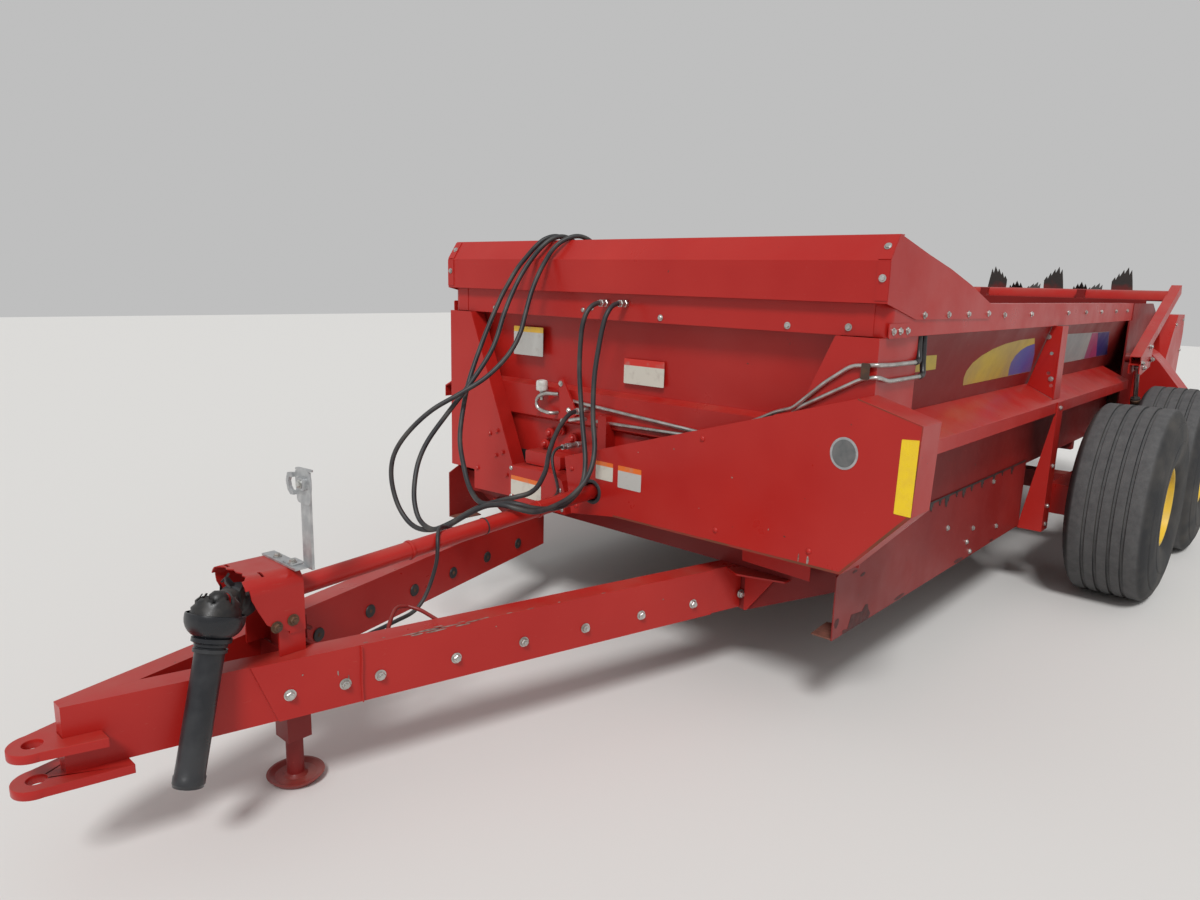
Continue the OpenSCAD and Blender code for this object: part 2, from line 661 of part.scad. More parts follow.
// Chain with its two sprockets between the gear box and the side shaft
pinion_at = [230, 740];
chain_x = 90;
module sprocket(r, teeth) {
    circle(r = r - 6);
    for (k = [0 : teeth - 1]) rotate(360 * k / teeth)
        polygon([[r - 8, -7], [r + 3, -2.5], [r + 3, 2.5], [r - 8, 7]]);
}
module drive_chain() color(black) translate([chain_x, 0, 0]) rotate([90, 0, 90]) {
    linear_extrude(12) difference() {
        union() {
            translate([shaft_y, shaft_z]) sprocket(sprocket_r, 36);
            translate(pinion_at) sprocket(pinion_r, 14);
        }
        translate([shaft_y, shaft_z]) circle(r = shaft_r + seat);
        translate(pinion_at) circle(r = 20 + seat);
    }
    translate([0, 0, -4]) linear_extrude(20) difference() {
        belt([shaft_y, shaft_z], sprocket_r + 8, pinion_at, pinion_r + 8);
        belt([shaft_y, shaft_z], sprocket_r - 7, pinion_at, pinion_r - 7);
    }
}
module side_shaft() color(steel) {
    bar_x(cross_rear, chain_x + 30, shaft_y, shaft_z, shaft_r);
    for (x = [-1100, -stake_x, base_x]) translate([x - 25, shaft_y - 40, floor_bottom + seat])
        cube([50, 80, shaft_z - floor_bottom + 30]);
    translate([cross_rear - 60, shaft_y - 68, floor_bottom + seat])
        cube([120, 220, shaft_z - floor_bottom + 60]);
}

// Apron: two chains with slats over the floor and back below it
slat_pitch = 400;
slat_h = 32;
chain_h = 24;
chain_y = 480;
module slat(x, z, hw) translate([x - 25, -hw, z]) cube([50, 2 * hw, slat_h]);
module apron() color(steel) {
    slat_hw = foot_hw - 50;
    for (x = [apron_front - 60 : -slat_pitch : apron_rear]) {
        slat(x, floor_z + seat, slat_hw);
        slat(x, apron_z - apron_r - slat_h, frame_y - 20);
    }
    both() translate([0, chain_y + 20, 0]) rotate([90, 0, 0]) linear_extrude(40) difference() {
        belt([apron_front, apron_z], apron_r + chain_h, [apron_rear, apron_z], apron_r + chain_h);
        belt([apron_front, apron_z], apron_r, [apron_rear, apron_z], apron_r);
    }
    for (x = [apron_front, apron_rear]) {
        bar_y(x, apron_z, -frame_y + seat, frame_y - seat, 22);
        for (s = [-1, 1]) bar_y(x, apron_z, s * chain_y - 8, s * chain_y + 8, apron_r);
    }
}

// Side plates that carry the beaters, with fillers beside the box walls
plate_pts = [[-ledge_rear - 4, 600], [-ledge_rear - 4, rail_bottom - seat],
             [-rail_rear - 3, rail_bottom - seat], [-rail_rear - 3, rail_top - 2],
             [-4560, rail_top - 2], [-4720, 1480], [-5190, 1480],
             [-5230, 1300], [-5150, 740], [-5060, 600]];
boss_out = arm_y - arm_w / 2 - seat;
pivot_r_pin = 16;
module rear_plates() color(dark_red) both() {
    difference() {
        xz_plate(plate_in, plate_t, plate_pts);
        bar_y(-upper_x, upper_z, plate_in - 1, plate_out + 1, stub_d / 2 + run);
        bar_y(-lower_x, lower_z, plate_in - 1, plate_out + 1, stub_d / 2 + run);
    }
    yz_plate(-box_rear + 8, 6, [[foot_hw + seat, floor_bottom], [knee_hw + seat, knee_z],
                                [rail_in - 15, rail_bottom], [plate_in - seat, rail_bottom],
                                [plate_in - seat, floor_bottom]]);
    // pins of gate and cylinder, each with its boss
    bar_y(-pivot_x, pivot_z, plate_in + 2, arm_y + arm_w / 2 + 8, pivot_r_pin);
    bar_y(-pivot_x, pivot_z, plate_in + 2, boss_out, 32);
    bar_y(base_x, base_z, plate_in + 2, arm_y + 26, base_pin_r);
    bar_y(base_x, base_z, plate_in + 2, arm_y - 19 - seat, 22);
}

// Toothed paddle, standing up from the shaft's axis to radius r
module paddle(r) translate([0, 0, -4]) linear_extrude(8)
    polygon([[-60, 40], [-80, r - 150], [-80, r - 110], [-62, r - 78], [-56, r - 100], [-36, r - 48],
             [-30, r - 74], [-6, r - 20], [0, r - 52], [24, r], [34, r - 60], [48, r - 20], [62, r - 110],
             [70, r - 170], [56, 40]]);
module beater(r, stations) color(dark_red) {
    rotate([-90, 0, 0]) cylinder(h = 2200, d = beater_tube_d, center = true);
    rotate([-90, 0, 0]) cylinder(h = 2 * (plate_out + 50), d = stub_d, center = true);
    for (s = stations) for (k = [0 : 3]) translate([0, s[0], 0]) rotate([0, 90 * k + s[1], 0])
        rotate([0, 0, 90]) mirror([s[0] < 0 ? 1 : 0, 0, 0]) rotate([90, 0, 0]) paddle(r);
}
// Rows of paddles as [place along the shaft, turn]
upper_at = [[-860, 0], [-480, 45], [-90, 0], [135, 45], [364, 0], [610, 45], [860, 0]];
lower_at = [[-1000, 0], [-585, 45], [-180, 0], [180, 45], [585, 0], [1000, 45]];
module upper_beater() translate([-upper_x, 0, upper_z]) beater(upper_r, upper_at);
module lower_beater() translate([-lower_x, 0, lower_z]) beater(lower_r, lower_at);

// Gate: a panel between the walls, hung from a pipe between two arms
gate_x = -4480;
gate_gap = 12;
gate_t = 6;
arm_front = [-3600, 1190];
arm_angle = 22.9;
arm_len = 1195;
pipe_x = -4565;
pipe_z = 1604;
module gate_panel() color(dark_red) {
    side = [[foot_hw - wall_t + 45, floor_z + 55], [knee_hw - wall_t - gate_gap, knee_z],
            [rail_in - 16 - wall_t - gate_gap, rail_bottom], [rail_in - wall_t - gate_gap, rail_bottom + 40],
            [rail_in - wall_t - gate_gap, 1575]];
    yz_plate(gate_x + gate_t, gate_t, concat(side, mirrored(side)));
    for (z = [900, 1120, 1340]) translate([gate_x - 30, -780, z]) cube([30, 1560, 50]);
    // hangers up to the pipe
    for (y = [-700, 0, 700]) difference() {
        translate([pipe_x, y - 25, 1569]) cube([gate_x - pipe_x + 3, 50, 70]);
        bar_y(pipe_x, pipe_z, y - 30, y + 30, pipe_d / 2 + seat);
    }
    translate([gate_x - 20, -rail_in + 55, 1569]) cube([20 + gate_t, 2 * (rail_in - 55), 6]);
}
module gate_arms() color(red) {
    bar_y(pipe_x, pipe_z, -arm_y + arm_w / 2 - 1, arm_y - arm_w / 2 + 1, pipe_d / 2);
    both() difference() {
        union() {
            translate([arm_front[0], arm_y - arm_w / 2, arm_front[1]]) rotate([0, arm_angle, 0])
                translate([-arm_len, 0, -arm_w / 2]) cube([arm_len, arm_w, arm_w]);
            for (y = [arm_y - arm_w / 2, arm_y + arm_w / 2 - 6])
                xz_plate(y, 6, [[-3585, 1165], [-3590, 1110], [-3650, 1100], [-3925, 1140], [-3945, 1290]]);
        }
        translate([arm_front[0], arm_y - arm_w / 2 + 5, arm_front[1]]) rotate([0, arm_angle, 0])
            translate([-arm_len + 10, 0, -arm_w / 2 + 5]) cube([arm_len, arm_w - 10, arm_w - 10]);
        bar_y(-pivot_x, pivot_z, arm_y - arm_w, arm_y + arm_w, pivot_r_pin + run);
    }
}

// Gate cylinders between the frame's base pins and the lugs of the arms
eye_r = 26;
rod_len = norm([lug_x - base_x, 0, lug_z - base_z]);
barrel_len = 320;
module cyl_frame() along([base_x, arm_y, base_z], [lug_x, arm_y, lug_z]) children();
module barrel() color(black) difference() {
    union() {
        cyl_frame() translate([0, 0, 34]) cylinder(h = barrel_len - 34, d = barrel_d);
        cyl_frame() cylinder(h = 40, d = 34);
        bar_y(base_x, base_z, arm_y - 19, arm_y + 19, eye_r);
    }
    bar_y(base_x, base_z, arm_y - 40, arm_y + 40, base_pin_r + run);
    cyl_frame() translate([0, 0, 45]) cylinder(h = barrel_len, d = rod_d + 2 * run);
}
module rod() color(steel) {
    cyl_frame() translate([0, 0, rod_len - 325]) cylinder(h = 315, d = rod_d);
    bar_y(lug_x, lug_z, arm_y - 17, arm_y + 17, 20);
}
module barrel_left() barrel();
module barrel_right() mirror_y() barrel();
module rod_left() rod();
module rod_right() mirror_y() rod();

// Cover of the drive at the rear left, with a sloping outer face and a chain case
case_in = plate_out + seat;
case_depth = 120;
module case_outline() polygon([[-4485, 640], [-4485, 1010], [-4860, 1470], [-5150, 1470], [-5185, 1330],
                               [-5110, 760], [-5030, 640]]);
module drive_case() color(red) {
    difference() {
        run_x(-4200, -4480, [[case_in, 1270], [1263, 1205], [1316, 1150], [1600, 800], [1600, 792],
                             [1302, 792], [1302, 640], [case_in, 640]]);
        run_x(-4206, -4481, [[case_in - 1, 1262], [1260, 1199], [1312, 1145], [1592, 800], [1592, 797],
                             [1297, 797], [1297, 645], [case_in - 1, 645]]);
    }
    difference() {
        translate([0, case_in + case_depth, 0]) rotate([90, 0, 0]) linear_extrude(case_depth) case_outline();
        translate([0, case_in + case_depth - 4, 0]) rotate([90, 0, 0]) linear_extrude(case_depth)
            offset(delta = -4) case_outline();
    }
}

// Fixed pipes on the front wall and the fittings that the hoses leave
pipe_r = 8;
wall_pipes = [[-384, 1054, 335, 1008], [-186, 975, 335, 983]];
fittings = [[-100, 1510], [10, 1512]];
module hydraulic_pipes() color(steel) {
    x = wall_rib + pipe_r + seat;
    for (ends = wall_pipes) along([x, ends[0], ends[1]], [x, ends[2], ends[3]])
        cylinder(h = norm([ends[2] - ends[0], ends[3] - ends[1]]), r = pipe_r);
    for (f = fittings) bar_x(-rail_setback + seat, 9, f[0], f[1], 13);
    bar_x(wall_rib + seat, -23, -250, 1020, 13);
    // both ends of the thin hose: out of the wall and on the jack's bracket
    bar_x(wall_front + seat, 39, -290, 855, 12);
    bar_x(1470, jack_x - sleeve_w / 2 - bracket_t + 1 - seat, 40, 410, 11);
}
// Holder for the hoses, bolted on the hood's rear edge
module hose_holder() color(steel) {
    translate([hood_rear - 10, hood_y - 80, hood_top + seat]) cube([40, 205, 6]);
    translate([hood_rear - 18, hood_y + 100, hood_top + seat]) cube([8.1, 50, 290]);
}

// Hydraulic hoses, each a tube swept along its own route
route_a = [[10, -100, 1510], [30, -100, 1510], [62, -101, 1500], [90, -104, 1476], [108, -108, 1436],
           [118, -112, 1370], [130, -105, 1220], [160, -55, 1025], [210, 15, 865],
           [270, 50, 770], [370, 60, 715],
           [460, 55, 712], [530, 40, 725], [576, 5, 741], [596, -50, 738], [600, -120, 720],
           [590, -215, 712], [560, -310, 745], [530, -385, 815], [480, -475, 915], [410, -540, 1035],
           [330, -590, 1165], [230, -605, 1350], [140, -605, 1510], [100, -595, 1580], [60, -578, 1650],
           [30, -553, 1700], [0, -522, 1750], [-35, -497, 1785], [-85, -475, 1800], [-135, -460, 1785],
           [-170, -450, 1745], [-185, -445, 1690], [-185, -440, 1600], [-180, -440, 1450],
           [-175, -440, 1300]];
route_b = [[10, 10, 1512], [30, 10, 1512], [62, 11, 1502], [90, 12, 1478], [108, 8, 1438],
           [124, 0, 1350],
           [150, 0, 1210], [180, 25, 1055], [220, 75, 920], [280, 98, 825], [370, 92, 755],
           [480, 82, 724], [560, 74, 722], [610, 45, 736], [638, 0, 746], [646, -55, 740],
           [646, -130, 715], [660, -225, 660], [680, -310, 605], [690, -400, 575], [690, -480, 595],
           [680, -530, 655], [655, -565, 730], [610, -595, 820], [555, -595, 910],
           [470, -560, 1030], [370, -525, 1160], [270, -505, 1300], [190, -520, 1450], [135, -528, 1540],
           [85, -525, 1620], [40, -508, 1690], [5, -480, 1745], [-35, -457, 1782], [-85, -435, 1798],
           [-135, -420, 1783], [-170, -410, 1745], [-185, -405, 1690], [-185, -400, 1600], [-180, -400, 1450],
           [-175, -400, 1250]];
route_c = [[-22, -250, 1020], [0, -250, 1020], [40, -246, 1013], [95, -236, 982], [165, -210, 935],
           [240, -170, 875], [310, -115, 825], [362, -88, 790], [408, -70, 766], [452, -68, 750],
           [490, -86, 741], [515, -118, 729], [534, -160, 714], [557, -210, 694], [592, -264, 662],
           [634, -340, 605], [668, -430, 560],
           [690, -525, 560], [700, -605, 615], [702, -655, 700], [695, -675, 790], [670, -670, 870],
           [620, -635, 955], [545, -580, 1040], [450, -510, 1110], [350, -455, 1180],
           [260, -420, 1270], [200, -408, 1360], [150, -425, 1450], [105, -438, 1540], [65, -436, 1620],
           [35, -424, 1680], [5, -400, 1740], [-35, -370, 1780], [-85, -338, 1798], [-135, -315, 1783],
           [-170, -305, 1745], [-185, -300, 1690], [-185, -295, 1600], [-180, -295, 1470],
           [-175, -295, 1350]];
route_d = [[40, -290, 855], [60, -290, 855], [90, -287, 845], [113, -279, 820], [125, -262, 785],
           [138, -235, 750], [168, -190, 722], [215, -138, 708], [280, -90, 704], [360, -58, 704],
           [460, -46, 701], [560, -43, 697], [700, -42, 689], [800, -42, 684], [860, -38, 691],
           [905, -28, 709], [940, -8, 718], [967, 15, 713], [985, 34, 692], [993, 44, 660], [998, 46, 625],
           [1006, 44, 590], [1020, 43, 552], [1036, 43, 520], [1056, 43, 490], [1082, 43, 466],
           [1115, 43, 452], [1168, 43, 444], [1226, 44, 436], [1290, 44, 428], [1350, 43, 420],
           [1410, 41, 413], [1450, 40, 410], [1469, 40, 410]];
routes = [route_a, route_b, route_c];
hose_steps = 2;
hose_sides = 8;
function spline_at(a, b, c, d, t) = 0.5 * (2 * b + (c - a) * t + (2 * a - 5 * b + 4 * c - d) * t * t
    + (3 * b - a - 3 * c + d) * t * t * t);
function smooth(p) = [for (i = [0 : len(p) - 2]) for (k = [0 : hose_steps - 1])
    spline_at(p[max(i - 1, 0)], p[i], p[i + 1], p[min(i + 2, len(p) - 1)], k / hose_steps), p[len(p) - 1]];
function unit(v) = v / norm(v);
function heading(p, i) = unit(p[min(i + 1, len(p) - 1)] - p[max(i - 1, 0)]);
// Side directions carried along the route so that the tube doesn't twist
function carried(p, i, u) = i >= len(p) ? []
    : let (h = heading(p, i), s = unit(u - (u * h) * h)) concat([s], carried(p, i + 1, s));
module tube(route, d) {
    p = smooth(route);
    sides = carried(p, 0, [0.1, 1, 0.05]);
    n = len(p);
    points = [for (i = [0 : n - 1]) for (k = [0 : hose_sides - 1])
        let (h = heading(p, i), s = sides[i], b = cross(h, s), a = 360 * k / hose_sides)
            p[i] + d / 2 * (cos(a) * s + sin(a) * b)];
    ends = [[for (k = [0 : hose_sides - 1]) k],
            [for (k = [hose_sides - 1 : -1 : 0]) (n - 1) * hose_sides + k]];
    walls = [for (i = [0 : n - 2]) for (k = [0 : hose_sides - 1]) let (j = (k + 1) % hose_sides)
        each [[i * hose_sides + j, i * hose_sides + k, (i + 1) * hose_sides + k],
              [i * hose_sides + j, (i + 1) * hose_sides + k, (i + 1) * hose_sides + j]]];
    polyhedron(points, concat(ends, walls));
}
module hose_a() color(black) tube(route_a, hose_d);
module hose_b() color(black) tube(route_b, hose_d);
module hose_c() color(black) tube(route_c, hose_d);
module hose_d() color(black) tube(route_d, thin_hose_d);
module hose_ends() color(steel) for (r = routes) {
    e = r[len(r) - 1];
    translate([e[0], e[1], e[2] - 70.7]) cylinder(h = 70, r = 14);
    translate([e[0], e[1], e[2] - 95]) cylinder(h = 30, r = 10);
}

place() main_frame();
place() tongue();
place() hitch_plates();
place() jack_sleeve();
place() jack_leg();
place() pto_stand();
place() pto_hood();
place() pto_shaft();
place() driveline();
place() gearbox();
place() chain_shield();
place() drive_chain();
place() front_wall();
place() front_wings();
place() apron_cover();
place() splash_guard();
place() top_rail();
place() side_walls();
place() ledges();
place() skirts();
place() stakes();
place() box_floor();
place() apron();
place() rear_plates();
place() upper_beater();
place() lower_beater();
place() gate_panel();
place() gate_arms();
place() barrel_left();
place() barrel_right();
place() rod_left();
place() rod_right();
place() walking_beams();
place() tyre_fl();
place() tyre_fr();
place() tyre_rl();
place() tyre_rr();
place() rim_fl();
place() rim_fr();
place() rim_rl();
place() rim_rr();
place() drive_case();
place() side_shaft();
place() hydraulic_pipes();
place() hose_holder();
place() hose_a();
place() hose_b();
place() hose_c();
place() hose_d();
place() hose_ends();
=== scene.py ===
import json
import math

import bpy
from mathutils import Matrix, Vector


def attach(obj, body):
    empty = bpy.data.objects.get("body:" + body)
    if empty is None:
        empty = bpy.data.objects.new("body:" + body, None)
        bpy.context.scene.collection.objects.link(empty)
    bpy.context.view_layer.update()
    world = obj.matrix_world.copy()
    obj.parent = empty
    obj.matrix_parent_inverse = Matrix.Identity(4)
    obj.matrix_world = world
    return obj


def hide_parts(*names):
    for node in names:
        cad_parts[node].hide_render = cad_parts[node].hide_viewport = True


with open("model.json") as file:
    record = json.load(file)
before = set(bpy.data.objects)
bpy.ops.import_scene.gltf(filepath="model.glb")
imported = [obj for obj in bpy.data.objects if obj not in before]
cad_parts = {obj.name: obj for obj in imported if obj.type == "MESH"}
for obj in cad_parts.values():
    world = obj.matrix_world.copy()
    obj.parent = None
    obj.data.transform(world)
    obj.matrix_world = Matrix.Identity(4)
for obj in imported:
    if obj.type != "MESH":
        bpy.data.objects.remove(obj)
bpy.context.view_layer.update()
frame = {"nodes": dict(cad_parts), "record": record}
link = bpy.context.scene.collection.objects.link

# Camera: stands at the height of a person's eyes in front of the machine's left
# corner, as in the photograph. MID is where the middle of the machine lies
# behind the splash guard's face, in metres.
MID = 1.5985
camera_data = bpy.data.cameras.new("camera")
camera_data.lens = 25.19
camera_data.clip_end = 200
camera = bpy.data.objects.new("camera", camera_data)
link(camera)
yaw, pitch, roll = 0.73316, 0.19736, 0.02651
forward = Vector((-math.cos(yaw) * math.cos(pitch), -math.sin(yaw) * math.cos(pitch), -math.sin(pitch)))
level = forward.cross(Vector((0, 0, 1))).normalized()
upward = level.cross(forward)
right = level * math.cos(roll) + upward * math.sin(roll)
upward = upward * math.cos(roll) - level * math.sin(roll)
camera.matrix_world = Matrix(((right.x, upward.x, -forward.x, 2.7186 + MID),
    (right.y, upward.y, -forward.y, 2.3556), (right.z, upward.z, -forward.z, 1.5985), (0, 0, 0, 1)))
bpy.context.scene.camera = camera


# Hydraulic hoses: black rubber, 21 mm across. They leave the couplings on the
# front rail and the wall, cross the drive line's tube and hang over the guard.
def at(x, y, z):
    """Place in metres from millimetres ahead of the guard's face, to the left and up."""
    return Vector((x / 1000 + MID, y / 1000, z / 1000))


def curve_through(points, steps):
    """Smooth line through a route's points."""
    line = []
    for i in range(len(points) - 1):
        a, b = points[max(i - 1, 0)], points[i]
        c, d = points[i + 1], points[min(i + 2, len(points) - 1)]
        for j in range(steps):
            t = j / steps
            line.append([0.5 * (2 * q + (r - p) * t + (2 * p - 5 * q + 4 * r - s) * t * t
                                + (3 * q - p - 3 * r + s) * t ** 3)
                         for p, q, r, s in zip(a, b, c, d)])
    line.append(list(points[-1]))
    return [at(*point) for point in line]


class Finish:
    """A material in the making: its nodes, and the shader that they lead to."""

    def __init__(self, name, roughness, metallic=0.0):
        self.material = bpy.data.materials.new(name)
        self.material.use_nodes = True
        self.tree = self.material.node_tree
        self.shader = self.tree.nodes["Principled BSDF"]
        self.put("Roughness", roughness)
        self.put("Metallic", metallic)

    def put(self, name, value, node=None):
        """Gives an input, of the shader or of another node, a value or another node's output."""
        entry = (node or self.shader).inputs[name]
        if isinstance(value, bpy.types.NodeSocket):
            self.tree.links.new(value, entry)
        else:
            entry.default_value = value

    def add(self, kind, inputs, operation=None):
        """Outputs of a new node with these inputs."""
        node = self.tree.nodes.new("ShaderNode" + kind)
        if kind == "Mix":
            node.data_type = "RGBA"
        if operation:
            node.operation = operation
        for name, value in inputs.items():
            self.put(name, value, node)
        return node.outputs

    def place(self, kind="Object"):
        """The piece's own coordinates, or the direction that its surface faces."""
        return self.add("TexCoord", {})[kind]

    def part(self, axis, vector):
        return self.add("SeparateXYZ", {0: vector})[axis]

    def noise(self, scale, detail=4, stretch=(1, 1, 1), rough=0.55):
        """Noise on the piece's own coordinates, stretched along its axes."""
        place = self.add("Mapping", {"Vector": self.place(), "Scale": stretch})["Vector"]
        inputs = {"Vector": place, "Scale": scale, "Detail": detail, "Roughness": rough}
        return self.add("TexNoise", inputs)["Fac"]

    def step(self, source, low, high, out_low=0.0, out_high=1.0):
        """Spreads the part of a value between low and high over the given range."""
        inputs = {"Value": source, "From Min": low, "From Max": high, "To Min": out_low, "To Max": out_high}
        return self.add("MapRange", inputs)["Result"]

    def mix(self, factor, first, second):
        """Mixes two colours, each a colour or another node's output."""
        first, second = [(*c, 1) if isinstance(c, tuple) else c for c in (first, second)]
        return self.add("Mix", {"Factor": factor, 6: first, 7: second})[2]

    def bump(self, height, strength, distance):
        inputs = {"Height": height, "Strength": strength, "Distance": distance}
        self.put("Normal", self.add("Bump", inputs)["Normal"])


def hose_rubber():
    skin = Finish("hose_rubber", 0.5)
    dust = skin.step(skin.noise(9, 6), 0.45, 0.75)
    skin.put("Base Color", skin.mix(dust, (0.022, 0.023, 0.026), (0.075, 0.07, 0.062)))
    skin.bump(skin.noise(400, 2), 0.25, 0.001)
    return skin.material


ROUTE_A = ((10, -100, 1510), (30, -100, 1510), (62, -101, 1500), (90, -104, 1476), (108, -108, 1436),
    (118, -112, 1370), (130, -105, 1220), (160, -55, 1025), (210, 15, 865), (270, 50, 770), (370, 60, 715),
    (460, 55, 712), (530, 40, 725), (576, 5, 741), (596, -50, 738), (600, -120, 720), (590, -215, 712),
    (560, -310, 745), (530, -385, 815), (480, -475, 915), (410, -540, 1035), (330, -590, 1165), (230, -605, 1350),
    (140, -605, 1510), (100, -595, 1580), (60, -578, 1650), (30, -553, 1700), (0, -522, 1750), (-35, -497, 1785),
    (-85, -475, 1800), (-135, -460, 1785), (-170, -450, 1745), (-185, -445, 1690), (-185, -440, 1600),
    (-180, -440, 1450), (-175, -440, 1300))
ROUTE_B = ((10, 10, 1512), (30, 10, 1512), (62, 11, 1502), (90, 12, 1478), (108, 8, 1438), (124, 0, 1350),
    (150, 0, 1210), (180, 25, 1055), (220, 75, 920), (280, 98, 825), (370, 92, 755), (480, 82, 724),
    (560, 74, 722), (610, 45, 736), (638, 0, 746), (646, -55, 740), (646, -130, 715), (660, -225, 660),
    (680, -310, 605), (690, -400, 575), (690, -480, 595), (680, -530, 655), (655, -565, 730), (610, -595, 820),
    (555, -595, 910), (470, -560, 1030), (370, -525, 1160), (270, -505, 1300), (190, -520, 1450),
    (135, -528, 1540), (85, -525, 1620), (40, -508, 1690), (5, -480, 1745), (-35, -457, 1782), (-85, -435, 1798),
    (-135, -420, 1783), (-170, -410, 1745), (-185, -405, 1690), (-185, -400, 1600),
    (-180, -400, 1450), (-175, -400, 1250))
ROUTE_C = ((-22, -250, 1020), (0, -250, 1020), (40, -246, 1013), (95, -236, 982), (165, -210, 935),
    (240, -170, 875), (310, -115, 825), (362, -88, 790), (408, -70, 766), (452, -68, 750), (490, -86, 741),
    (515, -118, 729), (534, -160, 714), (557, -210, 694), (592, -264, 662), (634, -340, 605), (668, -430, 560),
    (690, -525, 560), (700, -605, 615), (702, -655, 700), (695, -675, 790), (670, -670, 870), (620, -635, 955),
    (545, -580, 1040), (450, -510, 1110), (350, -455, 1180), (260, -420, 1270), (200, -408, 1360),
    (150, -425, 1450), (105, -438, 1540), (65, -436, 1620), (35, -424, 1680), (5, -400, 1740), (-35, -370, 1780),
    (-85, -338, 1798), (-135, -315, 1783), (-170, -305, 1745), (-185, -300, 1690), (-185, -295, 1600),
    (-180, -295, 1470), (-175, -295, 1350))
ROUTE_D = ((40, -290, 855), (60, -290, 855), (90, -287, 845), (113, -279, 820), (125, -262, 785),
    (138, -235, 750), (168, -190, 722), (215, -138, 708), (280, -90, 704), (360, -58, 704), (460, -46, 701),
    (560, -43, 697), (700, -42, 689), (800, -42, 684), (860, -38, 691), (905, -28, 709), (940, -8, 718),
    (967, 15, 713), (985, 34, 692), (993, 44, 660), (998, 46, 625), (1006, 44, 590), (1020, 43, 552),
    (1036, 43, 520), (1056, 43, 490), (1082, 43, 466), (1115, 43, 452), (1168, 43, 444), (1226, 44, 436),
    (1290, 44, 428), (1350, 43, 420), (1410, 41, 413), (1450, 40, 410), (1469, 40, 410))
rubber = hose_rubber()
for letter, route, size, end in (
        ("a", ROUTE_A, 0.021, "fitting"),
        ("b", ROUTE_B, 0.021, "fitting"),
        ("c", ROUTE_C, 0.021, "fitting"),
        ("d", ROUTE_D, 0.014, "object")):
    line = curve_through(route, 6)
    data = bpy.data.curves.new("hydraulic_hose_" + letter, "CURVE")
    data.dimensions = "3D"
    spline = data.splines.new("POLY")
    spline.points.add(len(line) - 1)
    for point, place in zip(spline.points, line):
        point.co = (*place, 1)
    data.bevel_depth = size / 2
    data.bevel_resolution = 3
    data.use_fill_caps = True
    data.materials.append(rubber)
    hose = bpy.data.objects.new("hydraulic_hose_" + letter, data)
    link(hose)
    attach(hose, "chassis")
    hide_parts("hose_" + letter)


# Painted sheet and beams: glossy red, faded by the sun, with a film of dust on
# what faces up, fine scratches and small chips down to dark metal. The box and
# the frame have the same paint, older and duller, and darker partly from age and
# partly as painted shade for the box's walls and skirts.
def red_paint(name, fresh, faded, roughness, chips, dust_share):
    skin = Finish(name, roughness)
    colour = skin.mix(skin.step(skin.noise(1.7, 3), 0.35, 0.7), fresh, faded)
    scratch = skin.step(skin.noise(16, 4, (1, 7, 10)), 0.68, 0.72, 0, 0.4)
    colour = skin.mix(scratch, colour, (0.42, 0.07, 0.05))
    chip = skin.step(skin.noise(38, 5), 0.74 - chips, 0.75 - chips)
    colour = skin.mix(chip, colour, (0.055, 0.032, 0.024))
    up = skin.step(skin.part("Z", skin.place("Normal")), 0.5, 1.0, 0.0, dust_share)
    grit = skin.step(skin.noise(6, 8), 0.35, 0.7)
    dust = skin.add("Math", {0: up, 1: grit}, "MULTIPLY")[0]
    skin.put("Base Color", skin.mix(dust, colour, (0.30, 0.17, 0.13)))
    skin.put("Roughness", skin.step(skin.noise(5, 5), 0.3, 0.7, roughness - 0.07, roughness + 0.14))
    skin.put("Specular IOR Level", 0.35)
    skin.put("Coat Weight", 0.1)
    skin.put("Coat Roughness", 0.2)
    skin.bump(skin.noise(2.2, 2), 0.22, 0.02)
    return skin.material


def plain_finish(name, colour, second, roughness, metallic, scale):
    """One colour that breaks up into a second one, for plain metal, wood and plastic."""
    skin = Finish(name, roughness, metallic)
    skin.put("Base Color", skin.mix(skin.step(skin.noise(scale, 6), 0.4, 0.65), colour, second))
    gloss = skin.step(skin.noise(scale * 2, 4), 0.3, 0.7, roughness - 0.08, roughness + 0.12)
    skin.put("Roughness", gloss)
    skin.bump(skin.noise(scale * 12, 3), 0.2, 0.002)
    return skin.material


paints = {
    "red": red_paint("red_paint", (0.40, 0.011, 0.008), (0.45, 0.020, 0.014), 0.33, 0.0, 0.22),
    # dark_red is darker partly from age and partly as painted shade.
    "dark_red": red_paint("dark_red_paint", (0.20, 0.009, 0.008), (0.26, 0.016, 0.013), 0.45, 0.02, 0.3),
    "yellow": plain_finish("yellow_paint", (0.78, 0.52, 0.04), (0.60, 0.42, 0.09), 0.42, 0, 5),
    "tyres": plain_finish("plain_rubber", (0.035, 0.035, 0.036), (0.085, 0.08, 0.073), 0.75, 0, 8),
    "black_plastic": plain_finish("black_plastic", (0.018, 0.019, 0.022), (0.04, 0.04, 0.042), 0.4, 0, 14),
    "black_paint": plain_finish("black_paint", (0.016, 0.016, 0.018), (0.04, 0.036, 0.032), 0.4, 0, 12),
    "chain_steel": plain_finish("chain_steel", (0.09, 0.06, 0.045), (0.17, 0.09, 0.05), 0.65, 0.5, 25),
    "bright_steel": plain_finish("bright_steel", (0.60, 0.60, 0.58), (0.42, 0.41, 0.38), 0.33, 0.85, 20),
    "galvanised": plain_finish("galvanised", (0.42, 0.43, 0.44), (0.55, 0.56, 0.56), 0.45, 0.7, 40),
    "boards": plain_finish("boards", (0.15, 0.10, 0.07), (0.24, 0.17, 0.12), 0.85, 0, 6),
    "hose_rubber": rubber,
}


def repaint(name, material):
    """Gives a piece of the frame another material."""
    node = frame["nodes"][name]
    node.data.materials.clear()
    node.data.materials.append(material)


